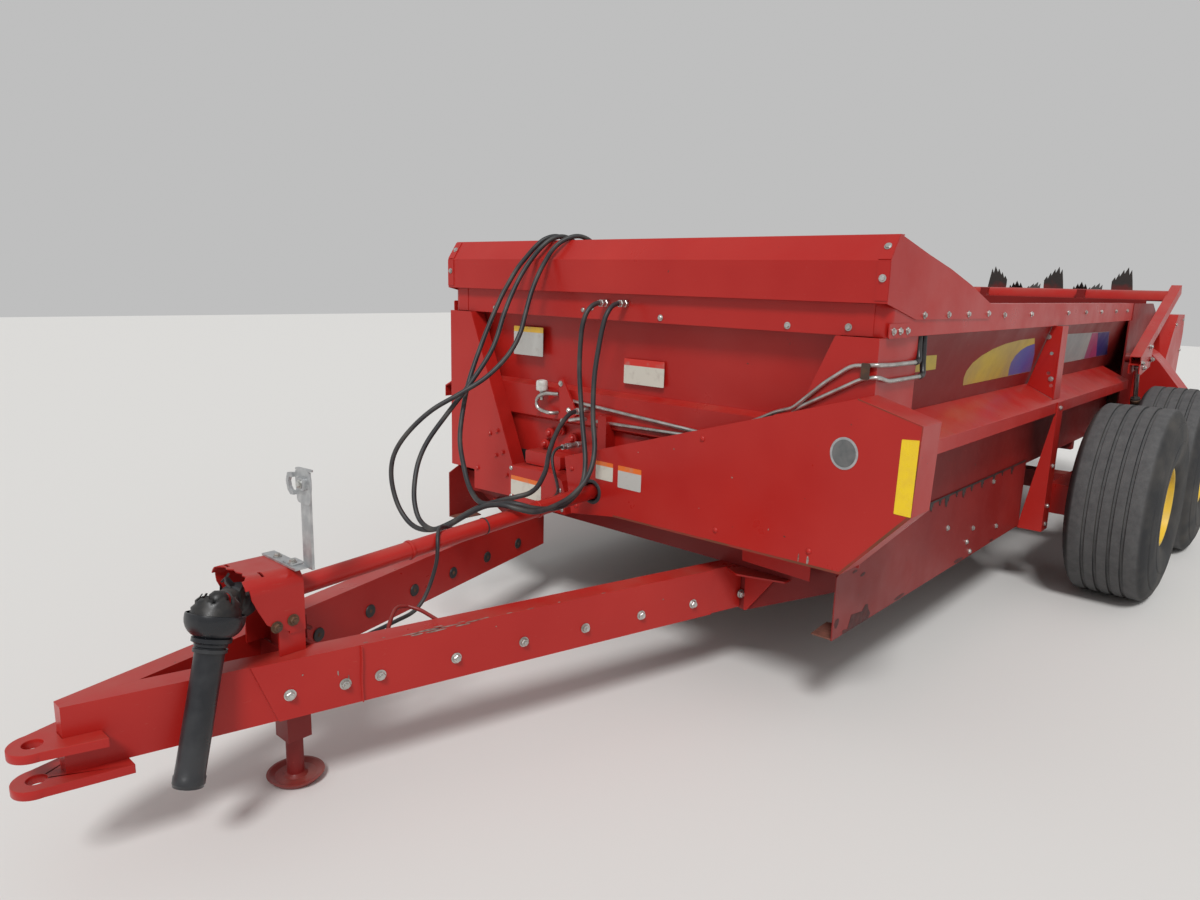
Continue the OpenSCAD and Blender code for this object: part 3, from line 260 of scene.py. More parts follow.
# Corners of the frame's pieces are rounded a little, the tongue's folds more.
ROUNDED = {"tongue": 0.006, "jack_sleeve": 0.004, "hitch_plates": 0.002}
slots = {part["node"]: part["material_slot"] for part in frame["record"]["subparts"]}
for name, node in frame["nodes"].items():
    repaint(name, paints[slots[name]])
    weld = node.modifiers.new("weld", "WELD")
    weld.merge_threshold = 0.00002
    if not name.startswith("hose_") or name in ("hose_ends", "hose_holder"):
        edge = node.modifiers.new("edge", "BEVEL")
        edge.width = ROUNDED.get(name, 0.0012)
        edge.segments = 2
        edge.limit_method = "ANGLE"
        edge.angle_limit = math.radians(35)


# Tyres: wide ribbed implement tyres, worn and grey with dust. Each is one profile
# with four grooves round the tread, spun about the wheel's middle.
def only(*pieces):
    """Leaves these pieces alone selected, with the first one active."""
    bpy.ops.object.select_all(action="DESELECT")
    for piece in pieces:
        piece.select_set(True)
    bpy.context.view_layer.objects.active = pieces[0]


def edit_all():
    """Opens the active piece's mesh with all of it selected."""
    bpy.ops.object.mode_set(mode="EDIT")
    bpy.ops.mesh.select_all(action="SELECT")


def close_edit(angle):
    """Turns the faces outward and shades edges under this angle smooth."""
    bpy.ops.mesh.select_all(action="SELECT")
    bpy.ops.mesh.normals_make_consistent(inside=False)
    bpy.ops.object.mode_set(mode="OBJECT")
    bpy.ops.object.shade_smooth_by_angle(angle=math.radians(angle))


def drawn(name, points):
    """Chain of edges through the points, each extruded from the last."""
    bpy.ops.object.select_all(action="DESELECT")
    bpy.ops.mesh.primitive_plane_add(size=1, location=(0, 0, 0))
    piece = bpy.context.object
    piece.name = piece.data.name = name
    edit_all()
    bpy.ops.mesh.merge(type="CENTER")
    bpy.ops.transform.translate(value=points[0])
    for start, end in zip(points, points[1:]):
        step_on = [b - a for a, b in zip(start, end)]
        bpy.ops.mesh.extrude_region_move(TRANSFORM_OT_translate={"value": step_on})
    bpy.ops.object.mode_set(mode="OBJECT")
    return piece


def turned(name, points, steps=48, angle=35):
    """Closed shell spun about Z from (radius, height) points in millimetres."""
    piece = drawn(name, [(r / 1000, 0, z / 1000) for r, z in points])
    edit_all()
    bpy.ops.mesh.spin(steps=steps, angle=math.tau, center=(0, 0, 0), axis=(0, 0, 1))
    bpy.ops.mesh.select_all(action="SELECT")
    bpy.ops.mesh.remove_doubles(threshold=0.00001)
    close_edit(angle)
    return piece


def stand(piece, place, direction, turn=0.0):
    """Puts a piece's own Z along the direction, from the place, and settles it in its mesh."""
    facing = Vector(direction).to_track_quat("Z", "Y").to_matrix().to_4x4()
    piece.matrix_world = Matrix.Translation(place) @ facing @ Matrix.Rotation(turn, 4, "Z")
    only(piece)
    bpy.ops.object.transform_apply(location=True, rotation=True, scale=True)
    return piece


def dress(piece, slot, finish=None, body="chassis"):
    """Finishes a piece, in its slot's own paint unless told, and fixes it to its body."""
    piece.data.materials.clear()
    piece.data.materials.append(finish or paints[slot])
    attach(piece, body)


def joined(name, pieces):
    """One piece of several."""
    only(*pieces)
    if len(pieces) > 1:
        bpy.ops.object.join()
    group = bpy.context.view_layer.objects.active
    group.name = group.data.name = name
    return group


def copies(name, master, places):
    """One piece of copies of a master, each with its own mesh, at (place, direction)."""
    made = []
    for place, direction in places:
        copy = master.copy()
        copy.data = master.data.copy()
        link(copy)
        made.append(stand(copy, place, direction, 0.7 * len(made)))
    return joined(name, made)


def ahead(x, points):
    """Places of bolts that face forward at x, from (left, up)."""
    return [(at(x, y, z), (1, 0, 0)) for y, z in points]


def outward(y, points):
    """Places of bolts that face away from the middle at y, from (ahead, up)."""
    return [(at(x, y, z), (0, math.copysign(1, y), 0)) for x, z in points]


def tyre_rubber():
    skin = Finish("tyre_rubber", 0.8)
    tread = skin.mix(skin.step(skin.noise(22, 8, rough=0.75), 0.3, 0.7),
        (0.060, 0.060, 0.062), (0.105, 0.105, 0.105))
    side = skin.mix(skin.step(skin.noise(5, 6), 0.4, 0.7), (0.020, 0.021, 0.023), (0.06, 0.055, 0.05))
    facing = skin.add("VectorMath", {0: skin.place("Normal")}, "ABSOLUTE")[0]
    skin.put("Base Color", skin.mix(skin.step(skin.part("Y", facing), 0.25, 0.75), tread, side))
    skin.bump(skin.noise(150, 4), 0.5, 0.003)
    return skin.material


RIM_R, TYRE_R = 204.5, 515
HUB_HEIGHT = 515.5
WHEELS = (("fl", -2465, 1), ("fr", -2465, -1), ("rl", -3740, 1), ("rr", -3740, -1))
TRACK = 1525
side_profile = [(RIM_R + 1, 171), (RIM_R + 14, 186), (RIM_R + 40, 198), (290, 206), (345, 209.5), (352, 206),
    (362, 209), (400, 205), (440, 196), (446, 190), (458, 189), (482, 180), (497, 170), (508, 160), (513, 151)]
groove_profile = []
for middle in (88, 30, -30, -88):
    groove_profile += [(TYRE_R - abs(middle) / 60 + 0.4, middle + 9), (TYRE_R - 9, middle + 5.5),
        (TYRE_R - 9, middle - 5.5), (TYRE_R - abs(middle) / 60 + 0.4, middle - 9)]
inner = [(RIM_R + 1, -150), (RIM_R + 90, -120), (RIM_R + 90, 120), (RIM_R + 1, 150)]
profile = side_profile + groove_profile + [(r, -w) for r, w in reversed(side_profile)] + inner
tyre_master = turned("tyre", profile + profile[:1], 96, 30)
tyre_skin = tyre_rubber()
for wheel, axle, side in WHEELS:
    tyre = copies("ribbed_tyre_" + wheel, tyre_master, outward(side * TRACK, [(axle, HUB_HEIGHT)]))
    dress(tyre, "tyres", tyre_skin, body="wheel_" + wheel)
    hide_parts("tyre_" + wheel)
bpy.data.objects.remove(tyre_master)


# Bolts, nuts and washers: plated steel, each a chamfered hexagon on a washer
# with the thread's end standing out of it.
def hexagon(name, width, height, washer, stud):
    """Head or nut standing on the XY plane, sizes in millimetres."""
    bpy.ops.object.select_all(action="DESELECT")
    bpy.ops.mesh.primitive_circle_add(vertices=6, radius=width / 1732, fill_type="NGON", location=(0, 0, 0.002))
    piece = bpy.context.object
    piece.name = piece.data.name = name
    bpy.ops.object.transform_apply(location=True, rotation=False, scale=False)
    edit_all()
    bpy.ops.mesh.extrude_region_move(TRANSFORM_OT_translate={"value": (0, 0, height * 0.00082)})
    bpy.ops.mesh.extrude_region_move(TRANSFORM_OT_translate={"value": (0, 0, height * 0.00018)})
    bpy.ops.transform.resize(value=(0.86, 0.86, 1))
    if stud:
        bpy.ops.mesh.primitive_cylinder_add(vertices=10, radius=width / 3400, depth=(height + stud) / 1000,
            location=(0, 0, (height + stud) / 2000 + 0.002))
    bpy.ops.mesh.primitive_cylinder_add(vertices=18, radius=washer / 2000, depth=0.0024, location=(0, 0, 0.0012))
    close_edit(30)
    return piece


large_nut = hexagon("large_nut", 24, 12, 36, 5)
small_bolt = hexagon("small_bolt", 16, 7, 26, 0)
dome_bolt = turned("dome_bolt", [(0, 7), (4, 6.6), (8, 4.8), (10.5, 1.8), (11, 0), (0, 0)], 14, 50)


def bolts(name, places, master=small_bolt, slot="bright_steel", body="chassis"):
    """Makes one finished piece of small bolts, or of copies of another master."""
    dress(copies(name, master, places), slot, body=body)


# Folded edges and bolts round the box's front: lap plates on the splash guard,
# seams of the rail's corner pieces, and plated bolts that hold them.
def flat(name, outline, depth, corner=0.0):
    """Plate with this outline in millimetres, pushed out by depth, its corners rounded."""
    piece = drawn(name, [at(*point) for point in outline])
    edit_all()
    bpy.ops.mesh.edge_face_add()
    if corner:
        bpy.ops.mesh.bevel(offset=corner / 1000, segments=3, affect="VERTICES")
        bpy.ops.mesh.select_all(action="SELECT")
    bpy.ops.mesh.extrude_region_move(TRANSFORM_OT_translate={"value": [d / 1000 for d in depth]})
    close_edit(30)
    return piece


def rectangle(x, y0, y1, z0, z1):
    """Outline that faces forward at x."""
    return [(x, y0, z0), (x, y1, z0), (x, y1, z1), (x, y0, z1)]


def side_rectangle(y, x0, x1, z0, z1):
    """Outline that faces sideways at y."""
    return [(x0, y, z0), (x1, y, z0), (x1, y, z1), (x0, y, z1)]


def front(x, points):
    """Outline that faces forward at x, from (left, up)."""
    return [(x, y, z) for y, z in points]


def flank(y, points):
    """Outline that faces sideways at y, from (ahead, up)."""
    return [(x, y, z) for x, z in points]


LEAN = (0.832, 0, 0.555)
RAIL_FACE = -30.9
guard_plates, guard_bolts = [], []
for side in (1, -1):
    inner, outer = side * 1121, side * 1165
    slant = [(-1.5, inner, 1695.5), (-1.5, outer, 1695.5), (-54, outer, 1774), (-54, inner, 1774)]
    guard_plates += [
        flat("lap", rectangle(0.1, inner, outer, 1562, 1690), (3, 0, 0)),
        flat("lap", slant, [3 * v for v in LEAN]),
        flat("bracket", side_rectangle(side * 1162.2, -208, -35, 1436, 1486), (0, side * 4, 0), 6),
        flat("seam", rectangle(RAIL_FACE, side * 1045, side * 1112, 1440, 1550), (2.5, 0, 0), 3)]
    guard_bolts += [(at(3.1, side * 1143, 1635), (1, 0, 0)), (at(-27, side * 1139, 1739), LEAN)]
    guard_bolts += [(at(x, side * 1166.4, 1512), (0, side, 0)) for x in (-321, -554, -769, -1005)]
    guard_bolts += [(at(x, side * 1166.3, 1460), (0, side, 0)) for x in (-66, -123, -183)]
rail_bolts = ahead(RAIL_FACE, ((-191, 1489), (194, 1461), (783, 1461), (1021, 1468)))
rail_rivets = ahead(RAIL_FACE, ((-842, 1462), (-245, 1475)))
dress(joined("guard_lap_plates", guard_plates), "red")
bolts("guard_bolts", guard_bolts)
bolts("rail_bolts", rail_bolts)
bolts("rail_rivets", rail_rivets, dome_bolt)


# Tongue: through bolts with washers along both lap plates, a splice weld, and
# bare steel where the hoses and boots have worn the paint off the top edge.
BEAM_OUT = (0.2529, 0.9675, 0)
BEAM_TOP = 495.1


def beam_y(x):
    """Distance from the middle to the outside of a tongue beam."""
    return 24 + (2169 - x) * 0.2614


lap_bolts, inner_ends = [], []
for x, y, z in ((1627, 174, 387), (1470, 215, 381), (1365, 243, 383), (1120, 307, 381), (879, 370, 382),
        (638, 433, 379), (399, 495, 378), (157, 558, 374), (-85, 621, 369)):
    for side in (1, -1):
        out = (BEAM_OUT[0], side * BEAM_OUT[1], 0)
        lap_bolts.append((at(x, side * (y + 0.3), z), out))
        if 100 < x < 1500:
            inside = beam_y(x) - 76.2
            inner_ends.append((at(x - 20, side * (inside + 5.4), z), (-out[0], -out[1], 0)))
bolts("tongue_bolts", lap_bolts, large_nut)
bolts("tongue_bolt_ends", inner_ends, dome_bolt, "chain_steel")
discs = [stand(turned("disc", [(0, 0), (24, 0), (25, 2), (23, 5), (0, 5)], 28, 30), place, out)
    for place, out in inner_ends]
dress(joined("tongue_discs", discs), "black_paint")
gussets = []
for side in (1, -1):
    top = [(30, 668, 487), (-28, 850, 487), (-92, 850, 487), (-92, 612, 487), (-8, 600, 487)]
    web = [(-84, 640, 487), (-84, 789, 487), (-84, 652, 306), (-84, 640, 306)]
    for name, outline, depth in (("gusset", top, (0, 0, 7)), ("web", web, (-8, 0, 0))):
        gussets.append(flat(name, [(x, side * y, z) for x, y, z in outline], depth, 3))
    foot = [(58, 1094.8, 361), (58, 1017, 361), (-80, 1008, 361), (-96, 1094.8, 361)]
    gussets.append(flat("foot", [(x, side * y, z) for x, y, z in foot], (0, 0, 5)))
feet = [gussets.pop(5), gussets.pop(2)]
dress(joined("tongue_gussets", gussets), "red")
dress(joined("skirt_feet", feet), "dark_red", plain_finish("rusty_foot", (0.20, 0.075, 0.05),
    (0.12, 0.045, 0.03), 0.8, 0, 22))


def pipe(name, points, radius, bend=0.0, sides=2):
    """Round bar or pipe through the points in millimetres, with rounded bends."""
    line = [at(*points[0])]
    for before, middle, after in zip(points, points[1:], points[2:]):
        corner = at(*middle)
        back = (at(*before) - corner).normalized() * bend / 1000
        on = (at(*after) - corner).normalized() * bend / 1000
        for k in range(6):
            line.append(corner + back * (1 - k / 5) ** 2 + on * (k / 5) ** 2)
    line.append(at(*points[-1]))
    piece = drawn(name, line)
    only(piece)
    edit_all()
    bpy.ops.mesh.remove_doubles(threshold=0.0001)
    bpy.ops.object.mode_set(mode="OBJECT")
    bpy.ops.object.convert(target="CURVE")
    bar = bpy.context.object
    bar.data.bevel_depth = radius / 1000
    bar.data.bevel_resolution = sides
    bar.data.use_fill_caps = True
    bpy.ops.object.convert(target="MESH")
    bar = bpy.context.object
    bpy.ops.object.shade_smooth_by_angle(angle=math.radians(50))
    return bar


splice = ((0, 494), (-1, 440), (2, 390), (0, 312))
seams = [pipe("splice", [(1423 + dx, side * (227.9 - dx * 0.2614 + 8.4), z) for dx, z in splice],
    2.2) for side in (1, -1)]
seams += [pipe("lap_weld", [(1722, side * 141.4, 493), (1655, side * 159.3, 312)], 5) for side in (1, -1)]
dress(joined("tongue_welds", seams), "red")
braces = [
    pipe("brace", [(1551, 100, 520), (1440, 138, 430)], 8),
    pipe("brace", [(1551, -60, 560), (1400, -112, 440)], 8),
    pipe("hook", [(1290, 168, 470), (1240, 120, 500), (1180, 70, 512), (1130, 110, 500),
        (1105, 212, 470)], 7, 34)]
dress(joined("tongue_rods", braces), "dark_red")


def flake(name, place, size, normal, seed):
    """Ragged flake where the paint has gone, lying on a face at the place in millimetres."""
    wide, high, axis_x, axis_y = size
    outline = []
    for k in range(9):
        turn = math.tau * k / 9
        reach = 0.72 + 0.28 * math.sin(seed * 2.3 + k * 2.1) * math.cos(seed + k * 3.7)
        outline.append([p + a * wide * reach * math.cos(turn) + b * high * reach * math.sin(turn)
            for p, a, b in zip(place, axis_x, axis_y)])
    return flat(name, outline, [0.5 * v for v in normal])


ALONG, OUT, LEFT, UP = (0.9675, -0.2529, 0), (0.253, 0.967, 0), (0, 1, 0), (0, 0, 1)
chips = []
for k, (x, inwards, wide, high) in enumerate(((1262, 2, 46, 5), (1205, 5, 52, 9), (1140, 3, 60, 7),
        (1060, 2, 44, 5), (1010, 6, 20, 4), (1170, 17, 24, 4), (1090, 14, 18, 3), (930, 4, 14, 3),
        (850, 3, 20, 3), (740, 6, 8, 3), (560, 4, 12, 3), (1400, 12, 10, 3), (1340, 20, 7, 3))):
    place = (x, beam_y(x) + 8 - inwards, BEAM_TOP)
    chips.append(flake("chip", place, (wide, high, ALONG, (0.25, 0.97, 0)), UP, k))
for k, (x, z, wide, high) in enumerate(((1250, 491, 30, 3), (1180, 490, 46, 4), (1100, 491, 34, 3),
        (1490, 420, 3, 12), (1460, 400, 3, 10), (1590, 440, 3, 4), (980, 460, 3, 3), (300, 420, 4, 4))):
    chips.append(flake("chip", (x, beam_y(x) + 8.7, z), (wide, high, ALONG, UP), OUT, k + 5))
for k, (y, z, wide, high) in enumerate(((993, 668, 3, 20), (1028, 666, 8, 22), (429, 971, 5, 3), (700, 905, 4, 5),
        (250, 930, 3, 3), (866, 742, 3, 5), (560, 760, 3, 2))):
    chips.append(flake("chip", (150.1, y, z), (wide, high, LEFT, UP), (1, 0, 0), k + 3))
bare = plain_finish("bare_primer", (0.34, 0.27, 0.24), (0.16, 0.10, 0.08), 0.6, 0.2, 60)
dress(joined("paint_chips", chips), "galvanised", bare)
SKIRT_FACE = 1100.1
patches = []
for side in (1, -1):
    bare_corner = [(-20, 361), (-20, 378), (-60, 371), (-83, 420), (-128, 414), (-174, 408), (-200, 428),
        (-222, 424), (-228, 404), (-250, 380), (-236, 361)]
    patches.append(flat("patch", flank(side * SKIRT_FACE, bare_corner), (0, side * 0.5, 0)))
    for k, (x, z, wide, high) in enumerate(((-520, 371, 60, 10), (-84, 588, 26, 9), (-1180, 372, 80, 12),
            (-1650, 370, 50, 9), (-150, 560, 30, 8), (30, 420, 22, 30))):
        patches.append(flake("patch", (x, side * SKIRT_FACE, z), (wide, high, (1, 0, 0), UP), (0, side, 0),
            k + 1))
dress(joined("peeled_patches", patches), "dark_red", plain_finish("peeled_paint", (0.05, 0.006, 0.006),
    (0.09, 0.012, 0.010), 0.6, 0, 30))


# Loose drive shaft: a black plastic guard tube with a round bell over its joint,
# open at both ends. The joint's cross and forks are greasy cast steel.
PIVOT = (1793, 120, 711)
SHAFT = Vector((141, 70, -471)).normalized()
bell_out = [(75, 36), (78, 37), (79, 41), (79, 52), (77, 64), (72, 76), (65, 86), (56, 94), (50, 97), (48, 99),
    (53, 101), (53, 112), (49, 114), (44, 117), (44, 124), (39.5, 127), (39.5, 440), (39.9, 466), (42, 470),
    (42, 488), (40.5, 490), (39.5, 496.6)]
bell_in = [(32.5, 496.6), (32.5, 396.6), (0, 396.6), (0, 88), (46, 88), (60, 80), (69, 68),
    (74, 54), (75, 42), (75, 38)]
guard = turned("shaft_guard", bell_out + bell_in + bell_out[:1], 56, 35)
stand(guard, at(*PIVOT), SHAFT)
guard_skin = plain_finish("guard_plastic", (0.010, 0.011, 0.014), (0.030, 0.031, 0.034), 0.3, 0, 7)
dress(guard, "black_plastic", guard_skin, body="loose_shaft")
fork = turned("shaft_fork", [(0, -27), (14, -25), (25, -14), (27.5, 0), (25, 13), (20, 19), (20, 40), (27, 44),
    (27, 60), (21, 64), (21, 90), (0, 90)], 24, 40)
stand(fork, at(*PIVOT), SHAFT)
pin = turned("shaft_pin", [(0, -32), (8, -32), (10, -30), (10, 30), (8, 32), (0, 32)], 16, 40)
stand(pin, at(*PIVOT), (0, 0.989, 0.147))
grease = plain_finish("greasy_black", (0.010, 0.010, 0.011), (0.028, 0.025, 0.023), 0.4, 0, 30)
dress(joined("shaft_joint", [fork, pin]), "chain_steel", grease, body="loose_shaft")
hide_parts("pto_shaft")
clamp_ring = turned("shaft_band", [(45.2, 130), (45.2, 140), (43.4, 140), (39.6, 138), (39.6, 131),
    (43.4, 130), (45.2, 130)], 40, 30)
stand(clamp_ring, at(*PIVOT), SHAFT)
dress(clamp_ring, "black_plastic", body="loose_shaft")

# Torn boot in the bell's mouth: a rubber shell whose side towards the neck is
# torn away, so that the neck can swing.
TO_NECK = Vector((-103, -108, -59)).normalized()
torn_boot = turned("torn_boot", [(72, 54), (72, 44), (64, 34), (66, 24), (57, 14), (58, 4), (48, -6),
    (44, -14), (30, -20)], 44, 60)
inward = Vector(SHAFT).to_track_quat("Z", "Y").inverted() @ TO_NECK
neck_turn = math.atan2(inward.y, inward.x)
only(torn_boot)
bpy.ops.object.mode_set(mode="EDIT")
bpy.ops.mesh.select_mode(type="FACE")
bpy.ops.mesh.select_all(action="DESELECT")
bpy.ops.object.mode_set(mode="OBJECT")
for face in torn_boot.data.polygons:
    turn = math.atan2(face.center.y, face.center.x)
    away = abs(math.remainder(turn - neck_turn, math.tau))
    ragged = 0.10 * math.sin(5 * turn) + 0.08 * math.sin(11 * turn + 1)
    limit = 0.033 if away < 1.25 + ragged else -0.008 + 0.008 * math.sin(7 * turn)
    face.select = face.center.z < limit
bpy.ops.object.mode_set(mode="EDIT")
bpy.ops.mesh.delete(type="FACE")
bpy.ops.mesh.select_mode(type="VERT")
bpy.ops.object.mode_set(mode="OBJECT")
thick = torn_boot.modifiers.new("thick", "SOLIDIFY")
thick.thickness = 0.0025
thick.offset = -1
bpy.ops.object.modifier_apply(modifier="thick")
stand(torn_boot, at(*PIVOT), SHAFT)
dress(torn_boot, "black_plastic", grease, body="loose_shaft")

# Rubber boot: torn black bellows round the joint under the hood.
BALL = (1690, 12, 652)
NECK = Vector((103, 108, 59)).normalized()
folds = [(30, -52), (46, -44), (41, -36), (51, -26), (45, -16), (54, -5), (47, 6), (53, 17), (44, 28), (48, 40),
    (37, 50), (40, 60), (28, 68), (25, 62), (35, 52), (33, 44), (43, 38), (40, 28), (48, 18), (43, 7), (49, -5),
    (41, -15), (46, -26), (37, -36), (42, -43), (30, -46)]
sleeve = [(24, 60), (33, 62), (31, 74), (34, 82), (30, 92), (33, 100), (29, 112), (27, 122), (23, 125), (23, 60)]
boot = joined("joint_boot", [turned("joint_boot", folds + folds[:1], 40, 25), turned("sleeve", sleeve, 32, 25)])
stand(boot, at(*BALL), NECK)
dress(boot, "black_plastic", paints["hose_rubber"])
rags = [flat("rag", outline, depth) for outline, depth in (
    ([(1722, 40, 712), (1730, 60, 716), (1738, 48, 730), (1728, 22, 738), (1712, 14, 728),
        (1708, 34, 716)], (5, 2, -3)),
    ([(1716, -20, 706), (1728, -2, 712), (1722, 18, 728), (1706, 4, 736), (1700, -18, 722)], (4, -3, 4)),
    ([(1700, 66, 640), (1716, 84, 652), (1724, 78, 690), (1716, 92, 716), (1702, 84, 728),
        (1694, 70, 690)], (3, 4, 0)),
    ([(1690, -52, 600), (1712, -40, 612), (1716, -50, 648), (1708, -60, 690), (1694, -62, 650)], (4, 3, 0)),
    ([(1684, 10, 590), (1708, 30, 596), (1712, 58, 612), (1704, 70, 640), (1690, 44, 616)], (4, -2, 3)))]
dress(joined("boot_rags", rags), "black_plastic", paints["hose_rubber"])

# Hood and stand: bolts on the hood's cheeks, and on the galvanised hose holder
# a foot with bolts, a bent clip, an open hook and a clamped block.
bolts("hood_bolts", [(at(x, y, z), (0, turn, 0)) for x, z in ((1640, 592), (1589, 600))
    for y, turn in ((140.6, 1), (-90.6, -1))], large_nut, "chain_steel")
holder = [
    flat("tab", [(1532, 60, 757), (1574, 60, 757), (1574, 120, 757), (1532, 120, 757)], (0, 0, 3), 4),
    flat("clip", front(1541, ((112, 946), (184, 946), (196, 1010), (190, 1046), (104, 1042),
        (106, 1000))), (3, 0, 0), 12),
    flat("curl", [(1532, 106, 1042), (1532, 190, 1046), (1544, 190, 1046), (1544, 106, 1042)], (0, 0, 6), 3),
    flat("hook", front(1544, ((104, 1034), (78, 1030), (68, 1004), (76, 978), (92, 966), (110, 968), (108, 980),
        (96, 980), (86, 990), (82, 1006), (88, 1018), (106, 1020))), (10, 0, 0)),
    flat("block", rectangle(1544, 132, 174, 990, 1026), (12, 0, 0), 7)]
dress(joined("holder_clips", holder), "galvanised")
bolts("holder_bolts", [(at(1556.2, 153, 1008), (1, 0, 0)), (at(1560, 5, 756.8), (0, 0, 1)),
    (at(1560, 96, 760.6), (0, 0, 1))])

# Fixed drive line: painted bands round the red guard tube, and a black cable tie
# with its lock and tail.
LINE_DIR = Vector((1498, 0, -84)).normalized()


def on_line(x):
    return at(x, 0, 724 - (x - 62) / 1498 * 84)


bands = []
for x in (80, 470, 1080, 1530):
    band = turned("tube_band", [(31.2, -7), (34, -7), (35, -4), (35, 4), (34, 7), (31.2, 7), (31.2, -7)], 32, 30)
    bands.append(stand(band, on_line(x), LINE_DIR))
dress(joined("tube_bands", bands), "red")
tie = stand(turned("tie", [(31.3, -3), (33, -3), (33, 3), (31.3, 3), (31.3, -3)], 32, 30), on_line(745), LINE_DIR)
tail = flat("tie_tail", [(743, -33, 690), (748, -33, 690), (752, -58, 664), (747, -58, 664)], (0, -1.2, 0))
lock = flat("tie_lock", side_rectangle(-40, 740, 751, 700, 688), (0, 7, 0), 1)
dress(joined("cable_tie", [tie, tail, lock]), "black_plastic")


# Gear box and apron cover: bolts on the cast housing, the flange where the drive
# line enters it, and dome bolts on the cover's sheet.
bolts("gearbox_bolts", ahead(60.2, ((-72, 668), (-72, 822), (110, 822), (190, 662), (284, 668), (284, 822),
    (100, 662))), slot="chain_steel")
flange = turned("gearbox_flange", [(34, 0), (66, 0), (68, 3), (66, 12), (50, 15), (42, 26),
    (34, 26), (34, 0)], 40, 30)
stand(flange, at(60.2, 0, 724), (1, 0, -0.056))
dress(flange, "dark_red")
bolts("cover_bolts", ahead(40.2, ((-636, 700), (-300, 650), (-636, 560), (-285, 560))), dome_bolt)


# Blank plates: labels with coloured heads, the reflector and the badge, with none
# of the words of the real ones. A rubber ring is where the drive line enters.
def label_paint(name, ground, head, level):
    """Faded label whose colour changes above the given height in metres."""
    skin = Finish(name, 0.45)
    above = skin.step(skin.part("Z", skin.place()), level - 0.001, level + 0.001)
    worn = skin.step(skin.noise(26, 5), 0.55, 0.72, 0, 0.35)
    skin.put("Base Color", skin.mix(worn, skin.mix(above, ground, head), (0.34, 0.29, 0.25)))
    skin.bump(skin.noise(90, 2), 0.08, 0.001)
    return skin.material


SHIELD_FACE = 150.2
grey, cream = (0.50, 0.50, 0.47), (0.62, 0.60, 0.52)
orange, amber = (0.75, 0.16, 0.02), (0.75, 0.45, 0.04)
for name, x, y0, y1, z0, z1, ground, head, level in (
        ("label_shield_small", SHIELD_FACE, 22, 118, 782, 860, cream, orange, 0.842),
        ("label_shield_large", SHIELD_FACE, 146, 270, 766, 859, grey, orange, 0.838),
        ("label_wall_high", -84, -758, -552, 1240, 1378, grey, amber, 1.352),
        ("label_wall_low", -109, -60, 165, 1162, 1272, cream, (0.60, 0.03, 0.02), 1.243),
        ("label_cover", 40.2, -636, -425, 570, 666, cream, orange, 0.645)):
    plate = flat(name, rectangle(x, y0, y1, z0, z1), (0.8, 0, 0), 4)
    dress(plate, "bright_steel", label_paint(name + "_paint", ground, head, level))
corners = ((1320, 1138), (1376, 1142), (1372, 893), (1316, 895))
reflector = flat("reflector", front(SHIELD_FACE, corners), (1.6, 0, 0), 2)
dress(reflector, "yellow", plain_finish("reflector_yellow", (0.86, 0.60, 0.01), (0.80, 0.54, 0.02), 0.3, 0, 30))


def oval(wide, high):
    """Outline of the badge, from its half width and half height."""
    turns = [math.tau * k / 28 for k in range(28)]
    return [(1130 + wide * math.cos(a), 1063 + high * math.sin(a)) for a in turns]


dress(flat("badge_rim", front(SHIELD_FACE, oval(50, 55)), (1.4, 0, 0)), "bright_steel", paints["galvanised"])
dress(flat("badge_face", front(SHIELD_FACE + 1.4, oval(42, 47)), (0.8, 0, 0)), "bright_steel",
    plain_finish("badge_grey", (0.10, 0.11, 0.11), (0.15, 0.15, 0.15), 0.4, 0, 30))
grommet = turned("grommet", [(40, -5), (50, -5), (54, 0), (50, 5), (44, 7), (38, 3), (38, -3), (40, -5)], 36, 40)
stand(grommet, at(150, 0, 719), (1, 0, 0))
dress(grommet, "black_plastic", paints["hose_rubber"])
bolts("shield_bolts", ahead(SHIELD_FACE, ((-90, 640), (-120, 800), (560, 1030), (1030, 700),
    (640, 690))), dome_bolt, "red")


# Controls on the front wall: round flanges on bent pipes, a lever plate, a white
# cap on its post, couplings of the hoses and two long steel pipes.
wall_pipes = [
    pipe("wall_pipe", [(-76.7, 320, 1009), (-76.7, 420, 1003), (-66, 640, 1046), (-66, 652, 1078)], 8, 30),
    pipe("wall_pipe", [(-76.7, 320, 983), (-76.7, 430, 984), (-66, 640, 1012), (-66, 668, 1036)], 8, 30),
    pipe("curl", [(-70, -430, 1075), (-40, -499, 1075), (-40, -545, 1050), (-40, -549, 1005), (-40, -512, 990),
        (-40, -452, 984), (-80, -440, 984)], 9, 26),
    pipe("hose_pipe", [(-40, -321, 967), (-26, -242, 986), (-20, -205, 989)], 10, 20)]
dress(joined("wall_pipes", wall_pipes), "bright_steel")
post = turned("cap_post", [(0, 0), (9, 0), (9, 38), (14, 40), (14, 46), (0, 46)], 20, 30)
stand(post, at(-50, -521, 1040), (0, 0, 1))
cap = turned("cap", [(0, 46), (26, 46), (28, 50), (28, 84), (24, 92), (12, 96), (0, 97)], 28, 40)
stand(cap, at(-50, -521, 1040), (0, 0, 1))
dress(post, "bright_steel")
dress(cap, "bright_steel", plain_finish("white_cap", (0.75, 0.75, 0.72), (0.55, 0.54, 0.50), 0.5, 0, 30))
flanges = []
